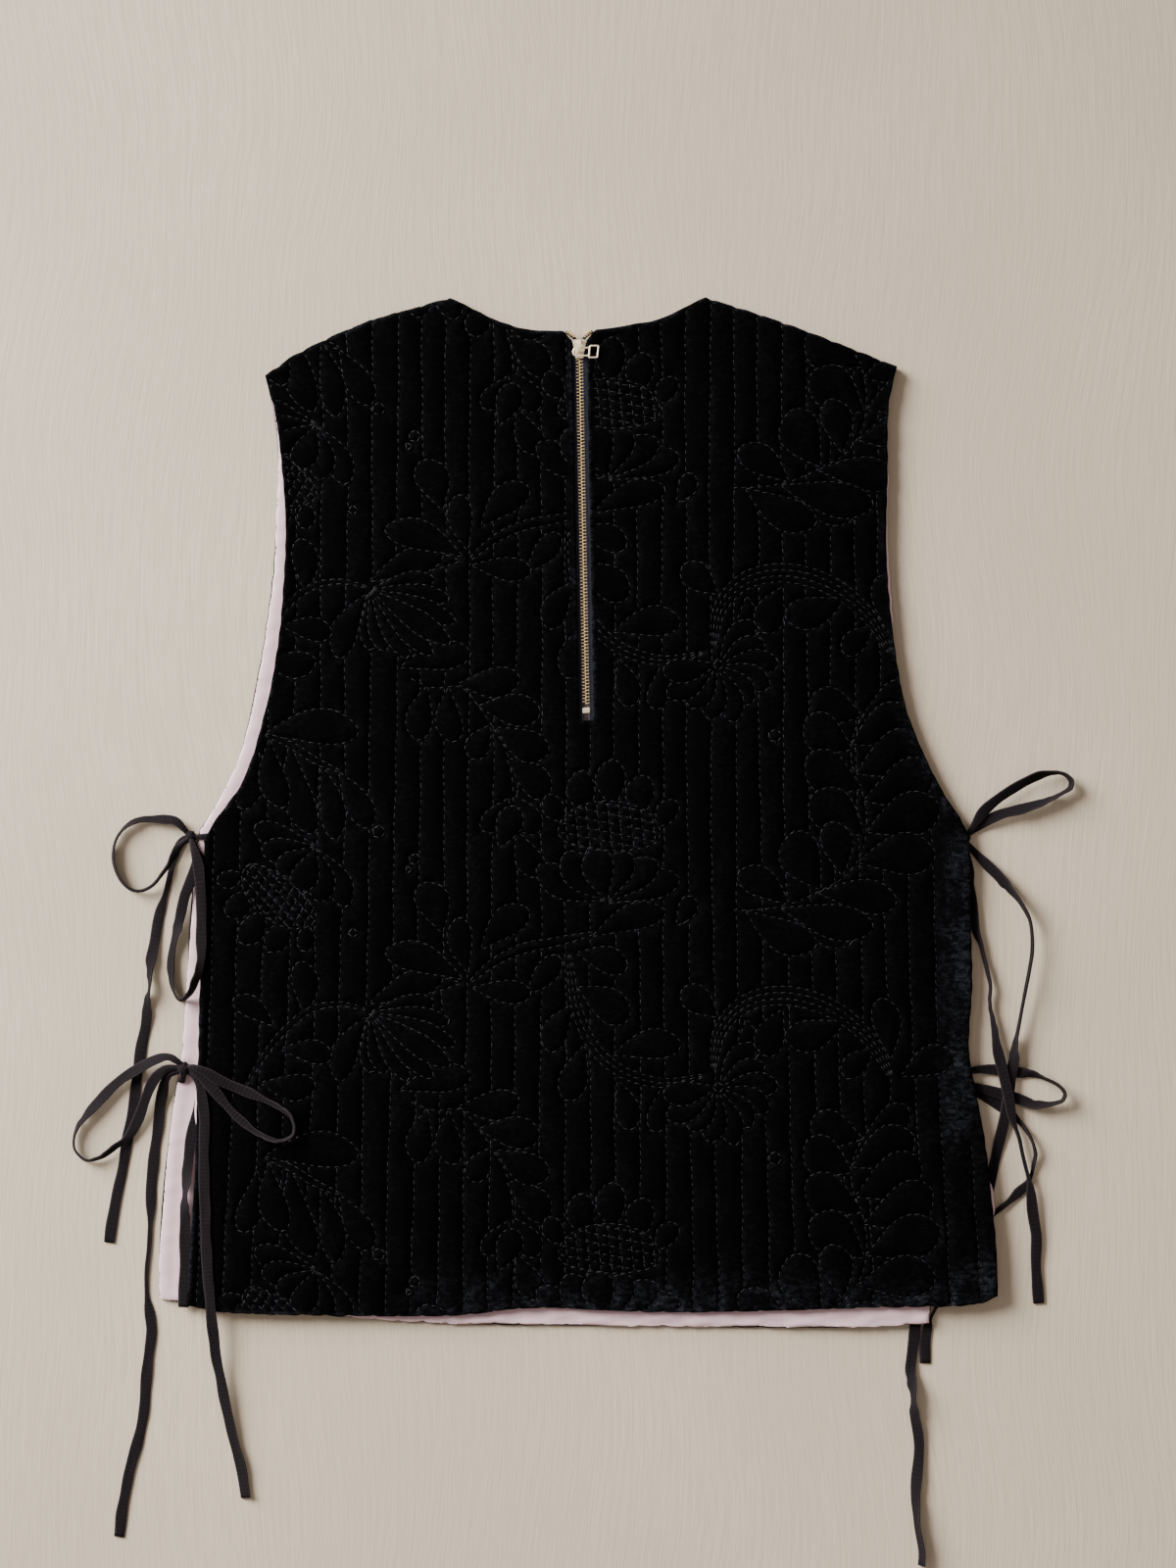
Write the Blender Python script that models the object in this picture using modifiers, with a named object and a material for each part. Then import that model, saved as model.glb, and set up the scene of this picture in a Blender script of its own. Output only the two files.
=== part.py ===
"""Quilted velvet waistcoat with side ties, laid flat with its back up.

Metres, +Z up, +Y towards the neck. The origin is the middle of the panels' outline, on the surface
that the front panel rests on. Every size and table below is in millimetres and degrees.
"""

import math

import bmesh
import bpy
from mathutils import Matrix, Vector

MM = 0.001

# Cloth
SHELL = 2.2  # velvet, wadding and backing, quilted together
LINING = 1.0  # satin with its turned edges
GAP = 0.3  # left between pieces
PUFF = 1.1  # rise of the back shell from its pressed edges to its middle
PUFF_RUN = 60.0  # over this distance from an edge
LINING_INSET = 0.8  # the lining lies this far inside the shell's edge
LINING_SHORT = 5.0  # and stops this far below the shoulder fold

# Heights of the middle of each layer
FRONT_SHELL_Z = SHELL / 2
FRONT_LINING_Z = SHELL + GAP + LINING / 2
BACK_LINING_Z = FRONT_LINING_Z + LINING + GAP
BACK_SHELL_Z = BACK_LINING_Z + LINING / 2 + GAP + SHELL / 2
FOLD_R = (BACK_SHELL_Z - FRONT_SHELL_Z) / 2  # shoulder fold, to the middle of the shell
FOLD_Z = (BACK_SHELL_Z + FRONT_SHELL_Z) / 2
FOLD_ROWS = (2.55, 1.3, 0.4, 0.05, 0.0)  # insets of the fold's rows, from flat to the seam
FOLD_SEAM = 0.02  # a point nearer than this to the seam is on it
FOLD_START = 0.15  # the fold's arc begins this far round, measured along the panel
SEAM_CHORDS = 24  # chords of the line that distances to a shoulder seam are measured to

# Edges of the back panel, each as x, y from its lower or left end
BACK_HEM = (
    (-227.8, -287.4), (-204.9, -291.4), (-154.5, -293.1), (-108.6, -293.7), (-68.5, -293.1),
    (-38.7, -289.7), (-18.1, -288.8), (17.4, -290.3), (58.1, -291.4), (117.7, -290.3),
    (173.8, -288.3), (231.1, -286.8), (244.9, -281.7),
)
BACK_SIDE_LEFT = (
    (-227.8, -287.4), (-223.2, -206.6), (-221.5, -147.6), (-220.4, -106.3), (-218.7, -69.1),
    (-217.5, -31.9), (-218.1, -16.4),
)
BACK_ARMHOLE_LEFT = (
    (-218.1, -16.4), (-211.2, -4.4), (-195.7, 18.0), (-186.0, 45.5), (-176.8, 85.6),
    (-171.7, 131.4), (-170.5, 168.7), (-172.5, 200.2), (-176.3, 231.7), (-182.6, 255.2),
)
BACK_SIDE_RIGHT = (
    (244.9, -281.7), (243.8, -252.5), (240.9, -220.9), (237.5, -190.6), (231.7, -159.6),
    (228.3, -137.9), (230.0, -100.0), (229.4, -63.4), (229.4, -31.9), (227.4, -11.8),
)
BACK_ARMHOLE_RIGHT = (
    (227.4, -11.8), (221.8, -0.9), (212.2, 13.4), (199.1, 40.9), (190.2, 65.6),
    (183.2, 109.7), (180.2, 149.8), (180.6, 193.9), (181.6, 238.6), (186.2, 260.4),
)
SHOULDER_LEFT = (
    (-182.6, 255.2), (-165.4, 267.2), (-141.9, 279.0), (-120.1, 287.9), (-97.8, 294.2),
    (-74.8, 300.7),
)
SHOULDER_RIGHT = (
    (74.7, 300.9), (92.8, 295.3), (113.7, 288.4), (138.6, 279.3), (166.4, 268.4), (186.2, 260.4),
)
BACK_NECK = (
    (-74.8, 300.7), (-65.7, 296.5), (-48.5, 287.9), (-29.6, 282.1), (-8.9, 281.0), (10.0, 281.6),
    (28.9, 284.4), (47.2, 287.9), (61.0, 294.2), (74.7, 300.9),
)

# Edges of the front panel, which lies underneath, about 17 mm to the left of the back
FRONT_HEM = (
    (-244.4, -284.0), (-231.8, -286.3), (-143.0, -294.3), (-68.5, -298.9), (24.9, -299.9),
    (99.4, -300.9), (154.9, -300.8), (205.8, -298.5),
)
FRONT_SIDE_LEFT = (
    (-244.4, -284.0), (-244.4, -247.3), (-239.9, -196.3), (-236.4, -170.5), (-230.7, -132.1),
    (-228.6, -99.5), (-226.7, -63.9), (-224.4, -31.9), (-220.9, -9.5),
)
FRONT_ARMHOLE_LEFT = (
    (-220.9, -9.5), (-208.3, 10.0), (-197.5, 34.0), (-190.0, 65.6), (-183.1, 102.8),
    (-178.0, 142.9), (-175.7, 183.0), (-175.1, 208.2), (-177.4, 231.7), (-182.6, 255.2),
)
FRONT_SIDE_RIGHT = (
    (205.8, -298.5), (209.4, -241.0), (213.4, -155.1), (215.7, -69.1), (217.4, -11.8),
)
FRONT_ARMHOLE_RIGHT = (
    (217.4, -11.8), (206.5, 16.8), (189.3, 59.8), (180.7, 102.8), (177.3, 148.6),
    (177.3, 193.9), (179.6, 238.6), (186.2, 260.4),
)
FRONT_NECK = (
    (-74.8, 300.7), (-62.8, 274.7), (-39.9, 240.3), (0.2, 220.3), (40.3, 240.3), (63.3, 274.7),
    (74.7, 300.9),
)

# Faces along each edge of a panel
SHOULDER_FACES = 4
NECK_FACES = 8
SIDE_FACES = 8
ARMHOLE_FACES = 9

# The ties hold the cloth off the surface in two places
CORNER = (205.8, -298.5)  # the front's lower right corner, with two ties under it
CORNER_LIFT = 1.7
CORNER_FLAT = 34.0  # lifted in full this far from the corner
CORNER_RUN = 90.0
LEFT_LIFT = 1.1  # the back's left edge, with one tie under it
LEFT_FLAT_X = -190.0
LEFT_RUN = 60.0
LEFT_TOP_Y = -16.4
LEFT_TOP_RUN = 76.0

# Zip, in a frame whose origin is the slider's lower end and whose +Y runs up the chain
ZIP_AT = (1.1, 265.0)
ZIP_TURN = 1.083
ZIP_Z = 5.5
CHAIN_WIDE = 4.5
CHAIN_THICK = 2.2
CHAIN_BOTTOM = -203.4
STOP_SIZE = (4.5, 3.3, 2.5)
TAPE_WIDE = 12.0
TAPE_THICK = 0.8
TAPE_TOP = 10.4
TAPE_BOTTOM = -219.0
CHAIN_END = (2.1, 4.6, 2.0)  # splayed end above the slider, and where its middle is
CHAIN_END_AT = (4.9, 14.3)
CHAIN_END_TURN = 52.0
SLIDER = (7.4, 11.2, 3.5)
SLIDER_SLOT = (1.4, 1.4)  # depth and height of the slot that the tape runs in
SLOT_CUT = 4.0  # width of the slot's cutter
SLIDER_EDGE = 0.6  # rounding of the slider's edges
SMALL_EDGE = 0.3  # and of the chain's, the stop's and the chain ends'
CROWN_SUNK = 0.5  # the crown's cutter starts this far inside the slider's top
CROWN_WIDE = 2.6
CROWN_TOP = 10.8
CROWN_FROM = 2.7
CROWN_TO = 11.0
CROWN_LEG = 1.4
TUNNEL_TOP = 10.0
SLIT_HALF = 4.2
LINING_SLIT_HALF = 4.1
SLIT_END = -211.1
VEE_FROM = 10.3
VEE_TO = 15.8
VEE_HALF = 8.9
CUT_OVER = 20.0  # cutters run this far past the cloth, and up to this height
ZIP_PUFF_HALF = 22.0  # the shell stands clear of the tape this far each side
ZIP_PUFF_RUN = 60.0

# Pull tab: a ring cell round the crown's lower leg and a wider cell beyond it
PULL_Z = 9.2
PULL_WIRE = 1.0
RING = (-4.2, 6.3, 2.8, 1.9)  # low x, high x, half height, corner radius
GRIP = (5.3, 11.3, 3.9, 0.8)
HOLE_RADIUS = 0.3  # of a cell's inner corners, where the outer radius leaves less
CORNER_STEPS = 4

# Ties: flat cotton tape
TIE_WIDE = 6.3
TIE_THICK = 0.8
TIE_STEP = 7.0  # between rings of the solid
TIE_PROBE = 0.5  # the step at which the way out of a knot is looked for
TANGENT_STEP = 0.001  # share of a tie's length over which its direction is taken
KNOT_GAP = 0.4  # left between a tie and its knot
KNOT_FACES = 10  # round a knot, and from its bottom to its top
GATHER = 0.5  # share of its width that a tie keeps at the knot
GATHER_RUN = 11.0

# Knots: middle x, y, z and half sizes x, y, z
KNOTS = {
    "knot_upper_left": (-225.8, -13.8, 3.1, 3.3, 4.0, 3.0),
    "knot_lower_left": (-229.3, -149.3, 7.5, 4.0, 5.0, 3.6),
    "knot_upper_right": (226.3, -15.2, 1.8, 3.4, 4.0, 1.7),
    "knot_lower_right": (222.6, -156.2, 1.8, 4.0, 4.4, 1.7),
}

# Each tie's knot, the stretches it has outside the knot, and its route: x, y, z, roll from flat
TIES = {
    "tie_upper_left_1": ("knot_upper_left", ("stem", "loop", "tail"), (
        (-218.7, -13.8, 4.6, 0), (-221.0, -13.8, 4.6, 0), (-225.8, -13.8, 3.1, 0),
        (-229.4, -9.5, 4.4, 5), (-234.7, -4.9, 4.6, 15), (-241.0, -4.1, 4.0, 20),
        (-247.9, -3.8, 3.2, 25), (-254.2, -3.8, 3.0, 35), (-261.1, -6.1, 3.2, 55),
        (-266.8, -11.2, 3.3, 75), (-270.2, -17.5, 3.3, 85), (-271.4, -26.1, 3.3, 90),
        (-269.9, -33.6, 3.3, 88), (-266.2, -40.5, 3.4, 85), (-261.1, -44.8, 3.3, 85),
        (-254.8, -45.6, 3.7, 85), (-247.9, -42.2, 4.6, 80), (-242.7, -35.9, 4.9, 70),
        (-238.1, -29.0, 4.7, 50), (-234.1, -22.1, 4.2, 20), (-230.5, -17.5, 3.6, 0),
        (-225.8, -13.8, 3.1, 0), (-229.6, -14.7, 1.6, 0), (-233.0, -18.0, 1.4, 0),
        (-236.4, -29.0, 0.6, 0), (-239.9, -43.3, 0.6, 0), (-245.0, -60.5, 0.6, 0),
        (-247.9, -77.1, 1.2, 5), (-249.6, -89.2, 2.4, 20), (-250.2, -102.9, 3.9, 75),
        (-251.9, -112.7, 1.7, 20), (-253.0, -126.4, 0.7, 0), (-255.3, -138.4, 0.6, 0),
        (-257.6, -155.6, 0.6, 0), (-260.2, -173.4, 0.6, 0), (-263.4, -190.6, 0.6, 0),
        (-266.2, -208.3, 0.6, 0), (-269.7, -226.1, 0.6, 0), (-272.5, -239.9, 0.6, 0),
        (-274.0, -251.3, 0.6, 0),
    )),
    "tie_upper_left_2": ("knot_upper_left", ("loop", "tail"), (
        (-225.8, -13.8, 3.1, 0), (-223.8, -18.6, 5.2, 0), (-222.6, -24.4, 5.4, 0),
        (-223.0, -31.3, 5.2, 0), (-225.5, -39.3, 5.0, 0), (-229.0, -48.5, 4.6, 0),
        (-232.1, -60.5, 3.4, 5), (-235.3, -73.1, 3.2, 45), (-237.3, -83.4, 2.4, 30),
        (-237.8, -92.6, 2.7, 40), (-236.4, -102.9, 3.4, 70), (-233.0, -108.6, 5.0, 85),
        (-229.0, -108.0, 7.2, 75), (-225.4, -104.3, 9.4, 60), (-222.4, -97.8, 10.8, 40),
        (-220.4, -90.4, 10.2, 20), (-219.3, -79.6, 9.5, 0), (-219.2, -48.5, 9.3, 0),
        (-220.4, -34.7, 9.4, 0), (-222.6, -25.0, 9.2, 0), (-224.6, -18.7, 7.6, 0),
        (-225.8, -13.8, 3.1, 0), (-223.8, -18.4, 4.0, 0), (-222.0, -23.0, 4.2, 0),
        (-219.2, -28.8, 4.2, 0), (-216.4, -40.5, 4.2, 0), (-216.1, -109.2, 4.2, 0),
        (-216.9, -143.6, 4.2, 0), (-218.9, -161.9, 4.2, 0), (-222.4, -175.7, 4.2, 0),
        (-224.4, -183.1, 4.2, 0), (-226.3, -193.4, 4.2, 0), (-227.5, -203.8, 4.4, 5),
        (-228.0, -212.4, 5.4, 20), (-229.0, -222.8, 7.0, 60), (-229.2, -230.0, 6.2, 35),
        (-229.3, -237.2, 4.7, 8), (-229.4, -247.3, 4.2, 0), (-229.5, -270.8, 4.2, 0),
        (-230.1, -288.6, 4.2, 0),
    )),
    "tie_lower_left_1": ("knot_lower_left", ("stem", "loop", "tail"), (
        (-231.6, -160.5, 4.2, 0), (-231.4, -157.0, 4.2, 0), (-229.3, -149.3, 7.5, 0),
        (-233.4, -144.7, 9.4, 0), (-239.3, -142.2, 8.6, 15), (-246.2, -143.6, 7.0, 25),
        (-256.5, -149.3, 4.8, 20), (-266.2, -155.6, 3.4, 15), (-277.7, -166.5, 3.0, 20),
        (-288.3, -178.0, 3.2, 40), (-293.7, -188.3, 3.4, 75), (-293.7, -196.9, 3.4, 85),
        (-288.3, -202.6, 3.4, 85), (-280.0, -201.5, 3.8, 60), (-270.8, -195.7, 3.6, 30),
        (-262.8, -189.4, 2.7, 10), (-257.6, -180.3, 2.8, 0), (-252.4, -167.7, 4.4, 0),
        (-246.8, -155.6, 6.2, 0), (-239.6, -149.2, 7.4, 0), (-229.3, -149.3, 7.5, 0),
        (-234.0, -151.5, 6.6, 0), (-237.6, -152.6, 6.1, 0), (-240.6, -156.4, 4.6, 0),
        (-242.4, -162.9, 2.6, 0), (-244.4, -172.8, 1.0, 0), (-246.2, -188.3, 0.6, 0),
        (-247.9, -202.6, 0.6, 0), (-249.6, -226.1, 0.6, 0), (-250.2, -243.3, 0.6, 0),
        (-251.9, -270.2, 0.6, 0), (-251.9, -282.3, 0.6, 0), (-250.2, -293.7, 0.6, 0),
        (-249.6, -304.0, 0.6, 0), (-251.9, -327.0, 0.6, 0), (-253.0, -344.1, 0.6, 0),
        (-255.9, -361.3, 0.6, 0), (-260.5, -378.5, 0.6, 0), (-266.2, -407.2, 0.6, 0),
        (-268.5, -423.2, 0.6, 0),
    )),
    "tie_lower_left_2": ("knot_lower_left", ("loop", "tail"), (
        (-229.3, -149.3, 7.5, 0), (-223.8, -147.8, 11.4, 0), (-216.4, -150.6, 11.6, 0),
        (-210.1, -154.5, 11.0, 0), (-198.0, -160.2, 9.8, 0), (-186.6, -165.4, 9.7, 0),
        (-176.3, -170.0, 10.3, 5), (-168.8, -174.5, 12.1, 45), (-164.8, -181.4, 12.7, 80),
        (-165.4, -187.1, 12.7, 85), (-171.1, -190.6, 12.6, 75), (-179.7, -189.4, 11.9, 40),
        (-188.9, -184.8, 10.3, 5), (-198.0, -176.8, 9.8, 0), (-205.5, -168.8, 9.8, 0),
        (-211.8, -161.4, 10.2, 0), (-218.7, -154.5, 10.3, 0), (-223.8, -151.2, 10.2, 0),
        (-229.3, -149.3, 7.5, 0), (-224.0, -152.8, 9.0, 0), (-220.6, -158.3, 9.1, 0),
        (-218.7, -167.7, 9.2, 0), (-217.5, -178.0, 9.2, 0), (-217.5, -206.6, 9.2, 0),
        (-216.9, -241.6, 9.2, 0), (-215.8, -259.3, 9.2, 0), (-214.6, -276.5, 9.2, 0),
        (-213.9, -288.5, 9.3, 0), (-213.4, -294.4, 9.2, 0), (-212.9, -299.4, 8.9, 0),
        (-212.3, -305.0, 8.3, 0), (-211.2, -314.3, 7.0, 5), (-208.9, -327.0, 5.3, 12),
        (-203.2, -358.5, 2.7, 20), (-196.3, -384.3, 1.9, 20), (-194.0, -400.3, 1.7, 20),
    )),
    "tie_upper_right_1": ("knot_upper_right", ("loop", "tail"), (
        (226.3, -15.2, 1.8, 0), (230.0, -9.7, 3.2, 0), (236.3, 0.2, 4.6, 10),
        (244.9, 8.3, 5.2, 20), (257.5, 16.0, 5.2, 25), (267.8, 21.1, 5.0, 40),
        (277.0, 23.4, 4.8, 60), (283.9, 22.6, 4.6, 80), (287.9, 18.6, 4.5, 65),
        (287.3, 14.6, 4.5, 60), (282.1, 11.1, 4.6, 85), (276.4, 8.0, 4.7, 70),
        (266.1, 4.5, 4.6, 40), (252.9, 0.8, 4.3, 20), (243.2, -2.6, 3.4, 5),
        (235.2, -7.8, 2.0, 0), (226.3, -15.2, 1.8, 0), (230.4, -21.5, 1.2, 0),
        (236.3, -27.8, 2.4, 10), (243.2, -34.7, 3.4, 15), (248.9, -40.5, 4.4, 30),
        (252.9, -45.6, 5.2, 60), (259.2, -54.2, 6.2, 75), (263.8, -63.4, 6.8, 75),
        (265.0, -80.6, 7.0, 60), (263.2, -92.6, 6.8, 70), (260.9, -104.1, 6.2, 70),
        (256.9, -126.4, 4.8, 80), (255.2, -136.7, 4.0, 50), (253.5, -153.3, 3.1, 0),
        (250.6, -172.2, 2.9, 0), (246.6, -190.6, 1.2, 0), (244.3, -201.5, 0.6, 0),
        (242.0, -211.2, 0.6, 0), (236.9, -235.3, 0.6, 0), (227.7, -254.8, 0.6, 0),
        (215.1, -280.0, 0.6, 0), (207.1, -294.3, 0.6, 0), (203.6, -306.9, 0.6, 0),
        (203.1, -321.8, 0.6, 0),
    )),
    "tie_upper_right_2": ("knot_upper_right", ("tail",), (
        (226.3, -15.2, 1.8, 0), (227.1, -22.5, 2.8, 0), (228.3, -31.9, 2.4, 0),
        (229.4, -47.3, 2.0, 20), (232.3, -68.0, 2.6, 20), (235.7, -77.7, 3.0, 30),
        (239.2, -92.6, 3.4, 50), (240.9, -102.3, 3.5, 75), (240.6, -108.6, 3.5, 85),
        (241.5, -117.2, 3.3, 50), (243.8, -129.3, 3.6, 15), (246.0, -142.4, 4.2, 0),
        (248.9, -154.5, 4.6, 0), (251.2, -165.9, 4.6, 0), (253.5, -178.0, 4.2, 0),
        (257.5, -188.9, 3.6, 0), (259.8, -199.2, 3.7, 0), (262.1, -208.3, 3.9, 0),
        (263.8, -216.4, 3.8, 0), (265.2, -230.7, 3.2, 0), (266.7, -240.4, 2.7, 0),
        (267.8, -247.9, 2.4, 0), (268.1, -266.8, 1.6, 0), (269.5, -286.8, 0.9, 0),
    )),
    "tie_lower_right_1": ("knot_lower_right", ("loop", "tail"), (
        (222.6, -156.2, 1.8, 0), (227.5, -151.4, 2.9, 0), (232.9, -150.2, 2.6, 0),
        (240.9, -150.2, 1.7, 0), (255.8, -151.6, 1.7, 0), (265.0, -152.2, 3.2, 45),
        (272.4, -155.1, 4.3, 75), (280.4, -159.1, 5.0, 80), (284.4, -164.2, 5.2, 85),
        (282.7, -168.2, 5.0, 85), (269.5, -170.5, 3.8, 45), (262.1, -169.1, 2.4, 15),
        (256.1, -166.8, 1.7, 0), (244.3, -163.6, 2.0, 0), (232.3, -160.0, 2.6, 0),
        (222.6, -156.2, 1.8, 0), (229.4, -162.4, 0.7, 0), (236.9, -165.2, 0.6, 0),
        (247.8, -172.2, 0.6, 0), (255.8, -178.0, 1.0, 15), (262.1, -186.0, 3.0, 55),
        (266.1, -194.0, 3.6, 75), (267.2, -202.0, 2.7, 45), (262.8, -216.4, 0.8, 0),
        (255.8, -223.4, 0.9, 0), (248.9, -229.5, 1.8, 0), (242.6, -234.6, 1.9, 0),
        (226.6, -247.9, 1.9, 0), (218.0, -257.5, 1.9, 0), (207.7, -271.4, 0.8, 0),
        (199.6, -288.0, 0.7, 0), (195.0, -321.8, 1.0, 5), (195.0, -331.5, 2.5, 30),
        (195.9, -342.4, 3.6, 70), (197.3, -355.0, 2.2, 25), (199.3, -371.1, 1.6, 12),
        (197.6, -393.4, 2.0, 25), (198.5, -418.1, 3.3, 65), (200.8, -431.2, 3.2, 60),
        (200.8, -439.8, 3.1, 55),
    )),
    "tie_lower_right_2": ("knot_lower_right", ("tail",), (
        (222.6, -156.2, 1.8, 0), (222.4, -159.0, 1.2, 0), (221.8, -162.6, 0.7, 0),
        (221.3, -166.4, 0.6, 0), (220.8, -170.4, 0.6, 0), (220.4, -175.0, 0.6, 0),
        (220.5, -180.2, 0.6, 0), (220.9, -185.4, 0.6, 0), (221.3, -190.8, 0.6, 0),
        (221.9, -197.0, 0.6, 0), (222.4, -203.2, 0.6, 0), (222.9, -209.4, 0.6, 0),
        (223.4, -215.8, 0.6, 0), (223.9, -222.2, 0.6, 0), (224.3, -228.4, 0.6, 0),
    )),
}

# name: colour (linear red, green, blue), roughness, metallic
MATERIALS = {
    "black_velvet": ((0.006, 0.006, 0.009), 0.9, 0.0),
    "pink_satin": ((0.72, 0.60, 0.63), 0.4, 0.0),
    "cotton_tape": ((0.035, 0.031, 0.031), 0.8, 0.0),
    "zip_tape": ((0.05, 0.052, 0.07), 0.8, 0.0),
    "pale_gold": ((0.80, 0.66, 0.40), 0.3, 1.0),
}


def clear_scene():
    for obj in list(bpy.data.objects):
        bpy.data.objects.remove(obj, do_unlink=True)


def new_collection(name):
    collection = bpy.data.collections.new(name)
    bpy.context.scene.collection.children.link(collection)
    return collection


def make_materials():
    made = {}
    for name, (colour, roughness, metallic) in MATERIALS.items():
        material = bpy.data.materials.new(name)
        material.use_nodes = True
        shader = material.node_tree.nodes["Principled BSDF"]
        shader.inputs["Base Color"].default_value = (*colour, 1.0)
        shader.inputs["Roughness"].default_value = roughness
        shader.inputs["Metallic"].default_value = metallic
        made[name] = material
    return made


def ease(t):
    """0 up to t = 0, 1 from t = 1, and smooth between them."""
    t = min(max(t, 0.0), 1.0)
    return t * t * (3 - 2 * t)


def spline(points):
    """A function of 0 to 1 along a smooth curve through the points, by the length of its chords."""
    points = [Vector(p) for p in points]
    at = [0.0]
    for a, b in zip(points, points[1:]):
        at.append(at[-1] + (b - a).length)
    slopes = []
    for i in range(len(points)):
        before, after = max(i - 1, 0), min(i + 1, len(points) - 1)
        slopes.append((points[after] - points[before]) / (at[after] - at[before]))

    def point(t):
        s = t * at[-1]
        i = max(k for k in range(len(at) - 1) if at[k] <= s or k == 0)
        span = at[i + 1] - at[i]
        f = (s - at[i]) / span
        g = 1 - f
        return (
            points[i] * (1 + 2 * f) * g * g + slopes[i] * span * f * g * g
            + points[i + 1] * (3 - 2 * f) * f * f - slopes[i + 1] * span * g * f * f
        )

    return point


def along(points, faces):
    """Points at even steps along the smooth curve through the points."""
    curve = spline(points)
    return [curve(k / faces) for k in range(faces + 1)]


def joined(*stretches):
    line = list(stretches[0])
    for stretch in stretches[1:]:
        line += stretch[1:]
    return line


def patch(bottom, top, left, right):
    """Rows of points that fill the four edges, by a Coons patch."""
    nu, nv = len(bottom) - 1, len(left) - 1
    rows = []
    for j in range(nv + 1):
        v = j / nv
        row = []
        for i in range(nu + 1):
            u = i / nu
            across = bottom[i] * (1 - v) + top[i] * v
            up = left[j] * (1 - u) + right[j] * u
            corners = (
                bottom[0] * (1 - u) * (1 - v) + bottom[-1] * u * (1 - v)
                + top[0] * (1 - u) * v + top[-1] * u * v
            )
            row.append(across + up - corners)
        rows.append(row)
    return rows


def panel_outline(hem, side_left, armhole_left, neck, side_right, armhole_right):
    faces = 2 * SHOULDER_FACES + NECK_FACES
    bottom = along(hem, faces)
    top = joined(
        along(SHOULDER_LEFT, SHOULDER_FACES), along(neck, NECK_FACES),
        along(SHOULDER_RIGHT, SHOULDER_FACES),
    )
    left = joined(along(side_left, SIDE_FACES), along(armhole_left, ARMHOLE_FACES))
    right = joined(along(side_right, SIDE_FACES), along(armhole_right, ARMHOLE_FACES))
    return patch(bottom, top, left, right)


def with_fold_rows(rows):
    """Adds the rows of the shoulder fold just below the last one."""
    last, before = rows[-1], rows[-2]
    folded = rows[:-1]
    for inside in FOLD_ROWS:
        folded.append([p + (q - p).normalized() * inside for p, q in zip(last, before)])
    return folded


def inset(rows, edge, top):
    """The same rows, with the outline pulled in by these amounts."""
    rows = [list(row) for row in rows]
    for row in rows:
        for end, inner in ((0, 1), (-1, -2)):
            row[end] = row[end] + (row[inner] - row[end]).normalized() * edge
    for i in range(len(rows[0])):
        for end, inner, amount in ((0, 1, edge), (-1, -2, top)):
            rows[end][i] = rows[end][i] + (rows[inner][i] - rows[end][i]).normalized() * amount
    return rows


def outline_of(rows):
    left, right = [row[0] for row in rows], [row[-1] for row in rows]
    return [rows[0], rows[-1], left, right]


def distance_to(p, line):
    nearest = math.inf
    for a, b in zip(line, line[1:]):
        ab = b - a
        t = min(max((p - a).dot(ab) / ab.length_squared, 0.0), 1.0)
        nearest = min(nearest, (a + ab * t - p).length)
    return nearest


def corner_lift(p):
    away = (p - Vector(CORNER)).length
    return CORNER_LIFT * ease(1 - (away - CORNER_FLAT) / CORNER_RUN)


def left_lift(p):
    across = ease(1 - (p.x - LEFT_FLAT_X) / LEFT_RUN)
    return LEFT_LIFT * across * ease(1 - (p.y - LEFT_TOP_Y) / LEFT_TOP_RUN)


def puff(p, outline):
    edge = min(distance_to(p, line) for line in outline)
    from_zip = abs(p.x - ZIP_AT[0] - (ZIP_AT[1] - p.y) * math.tan(math.radians(ZIP_TURN)))
    above_slit = (p.y - ZIP_AT[1] - SLIT_END) / ZIP_PUFF_RUN + 1
    at_zip = ease(1 - (from_zip - ZIP_PUFF_HALF) / ZIP_PUFF_RUN) * ease(above_slit)
    return PUFF * max(ease(edge / PUFF_RUN), at_zip)


def fold_height(p, shoulders, flat):
    """The height of a shell's middle at p: flat, or round the shoulder fold near the seam."""
    away = min(distance_to(p, line) for line in shoulders)
    if away >= FOLD_R:
        return flat
    if away < FOLD_SEAM:
        return FOLD_Z + math.copysign(GAP / 2, flat - FOLD_Z)
    away = FOLD_START + away * (FOLD_R - FOLD_START) / FOLD_R
    rise = math.sqrt(FOLD_R**2 - (FOLD_R - away) ** 2) / FOLD_R
    return FOLD_Z + (flat - FOLD_Z) * rise


def raised(rows, height):
    return [[Vector((p.x, p.y, height(p))) for p in row] for row in rows]


def object_from(bm, name, collection, material):
    mesh = bpy.data.meshes.new(name)
    bm.to_mesh(mesh)
    bm.free()
    obj = bpy.data.objects.new(name, mesh)
    collection.objects.link(obj)
    if material:
        mesh.materials.append(material)
    return obj


def sheet(name, rows, thickness, collection, material):
    """An open grid of faces, made a wall by Solidify."""
    bm = bmesh.new()
    verts = [[bm.verts.new(p * MM) for p in row] for row in rows]
    for low, high in zip(verts, verts[1:]):
        for i in range(len(low) - 1):
            bm.faces.new((low[i], low[i + 1], high[i + 1], high[i]))
    obj = object_from(bm, name, collection, material)
    wall = obj.modifiers.new("wall", "SOLIDIFY")
    wall.thickness = thickness * MM
    wall.offset = 0
    obj.data.shade_smooth()
    return obj


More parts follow.
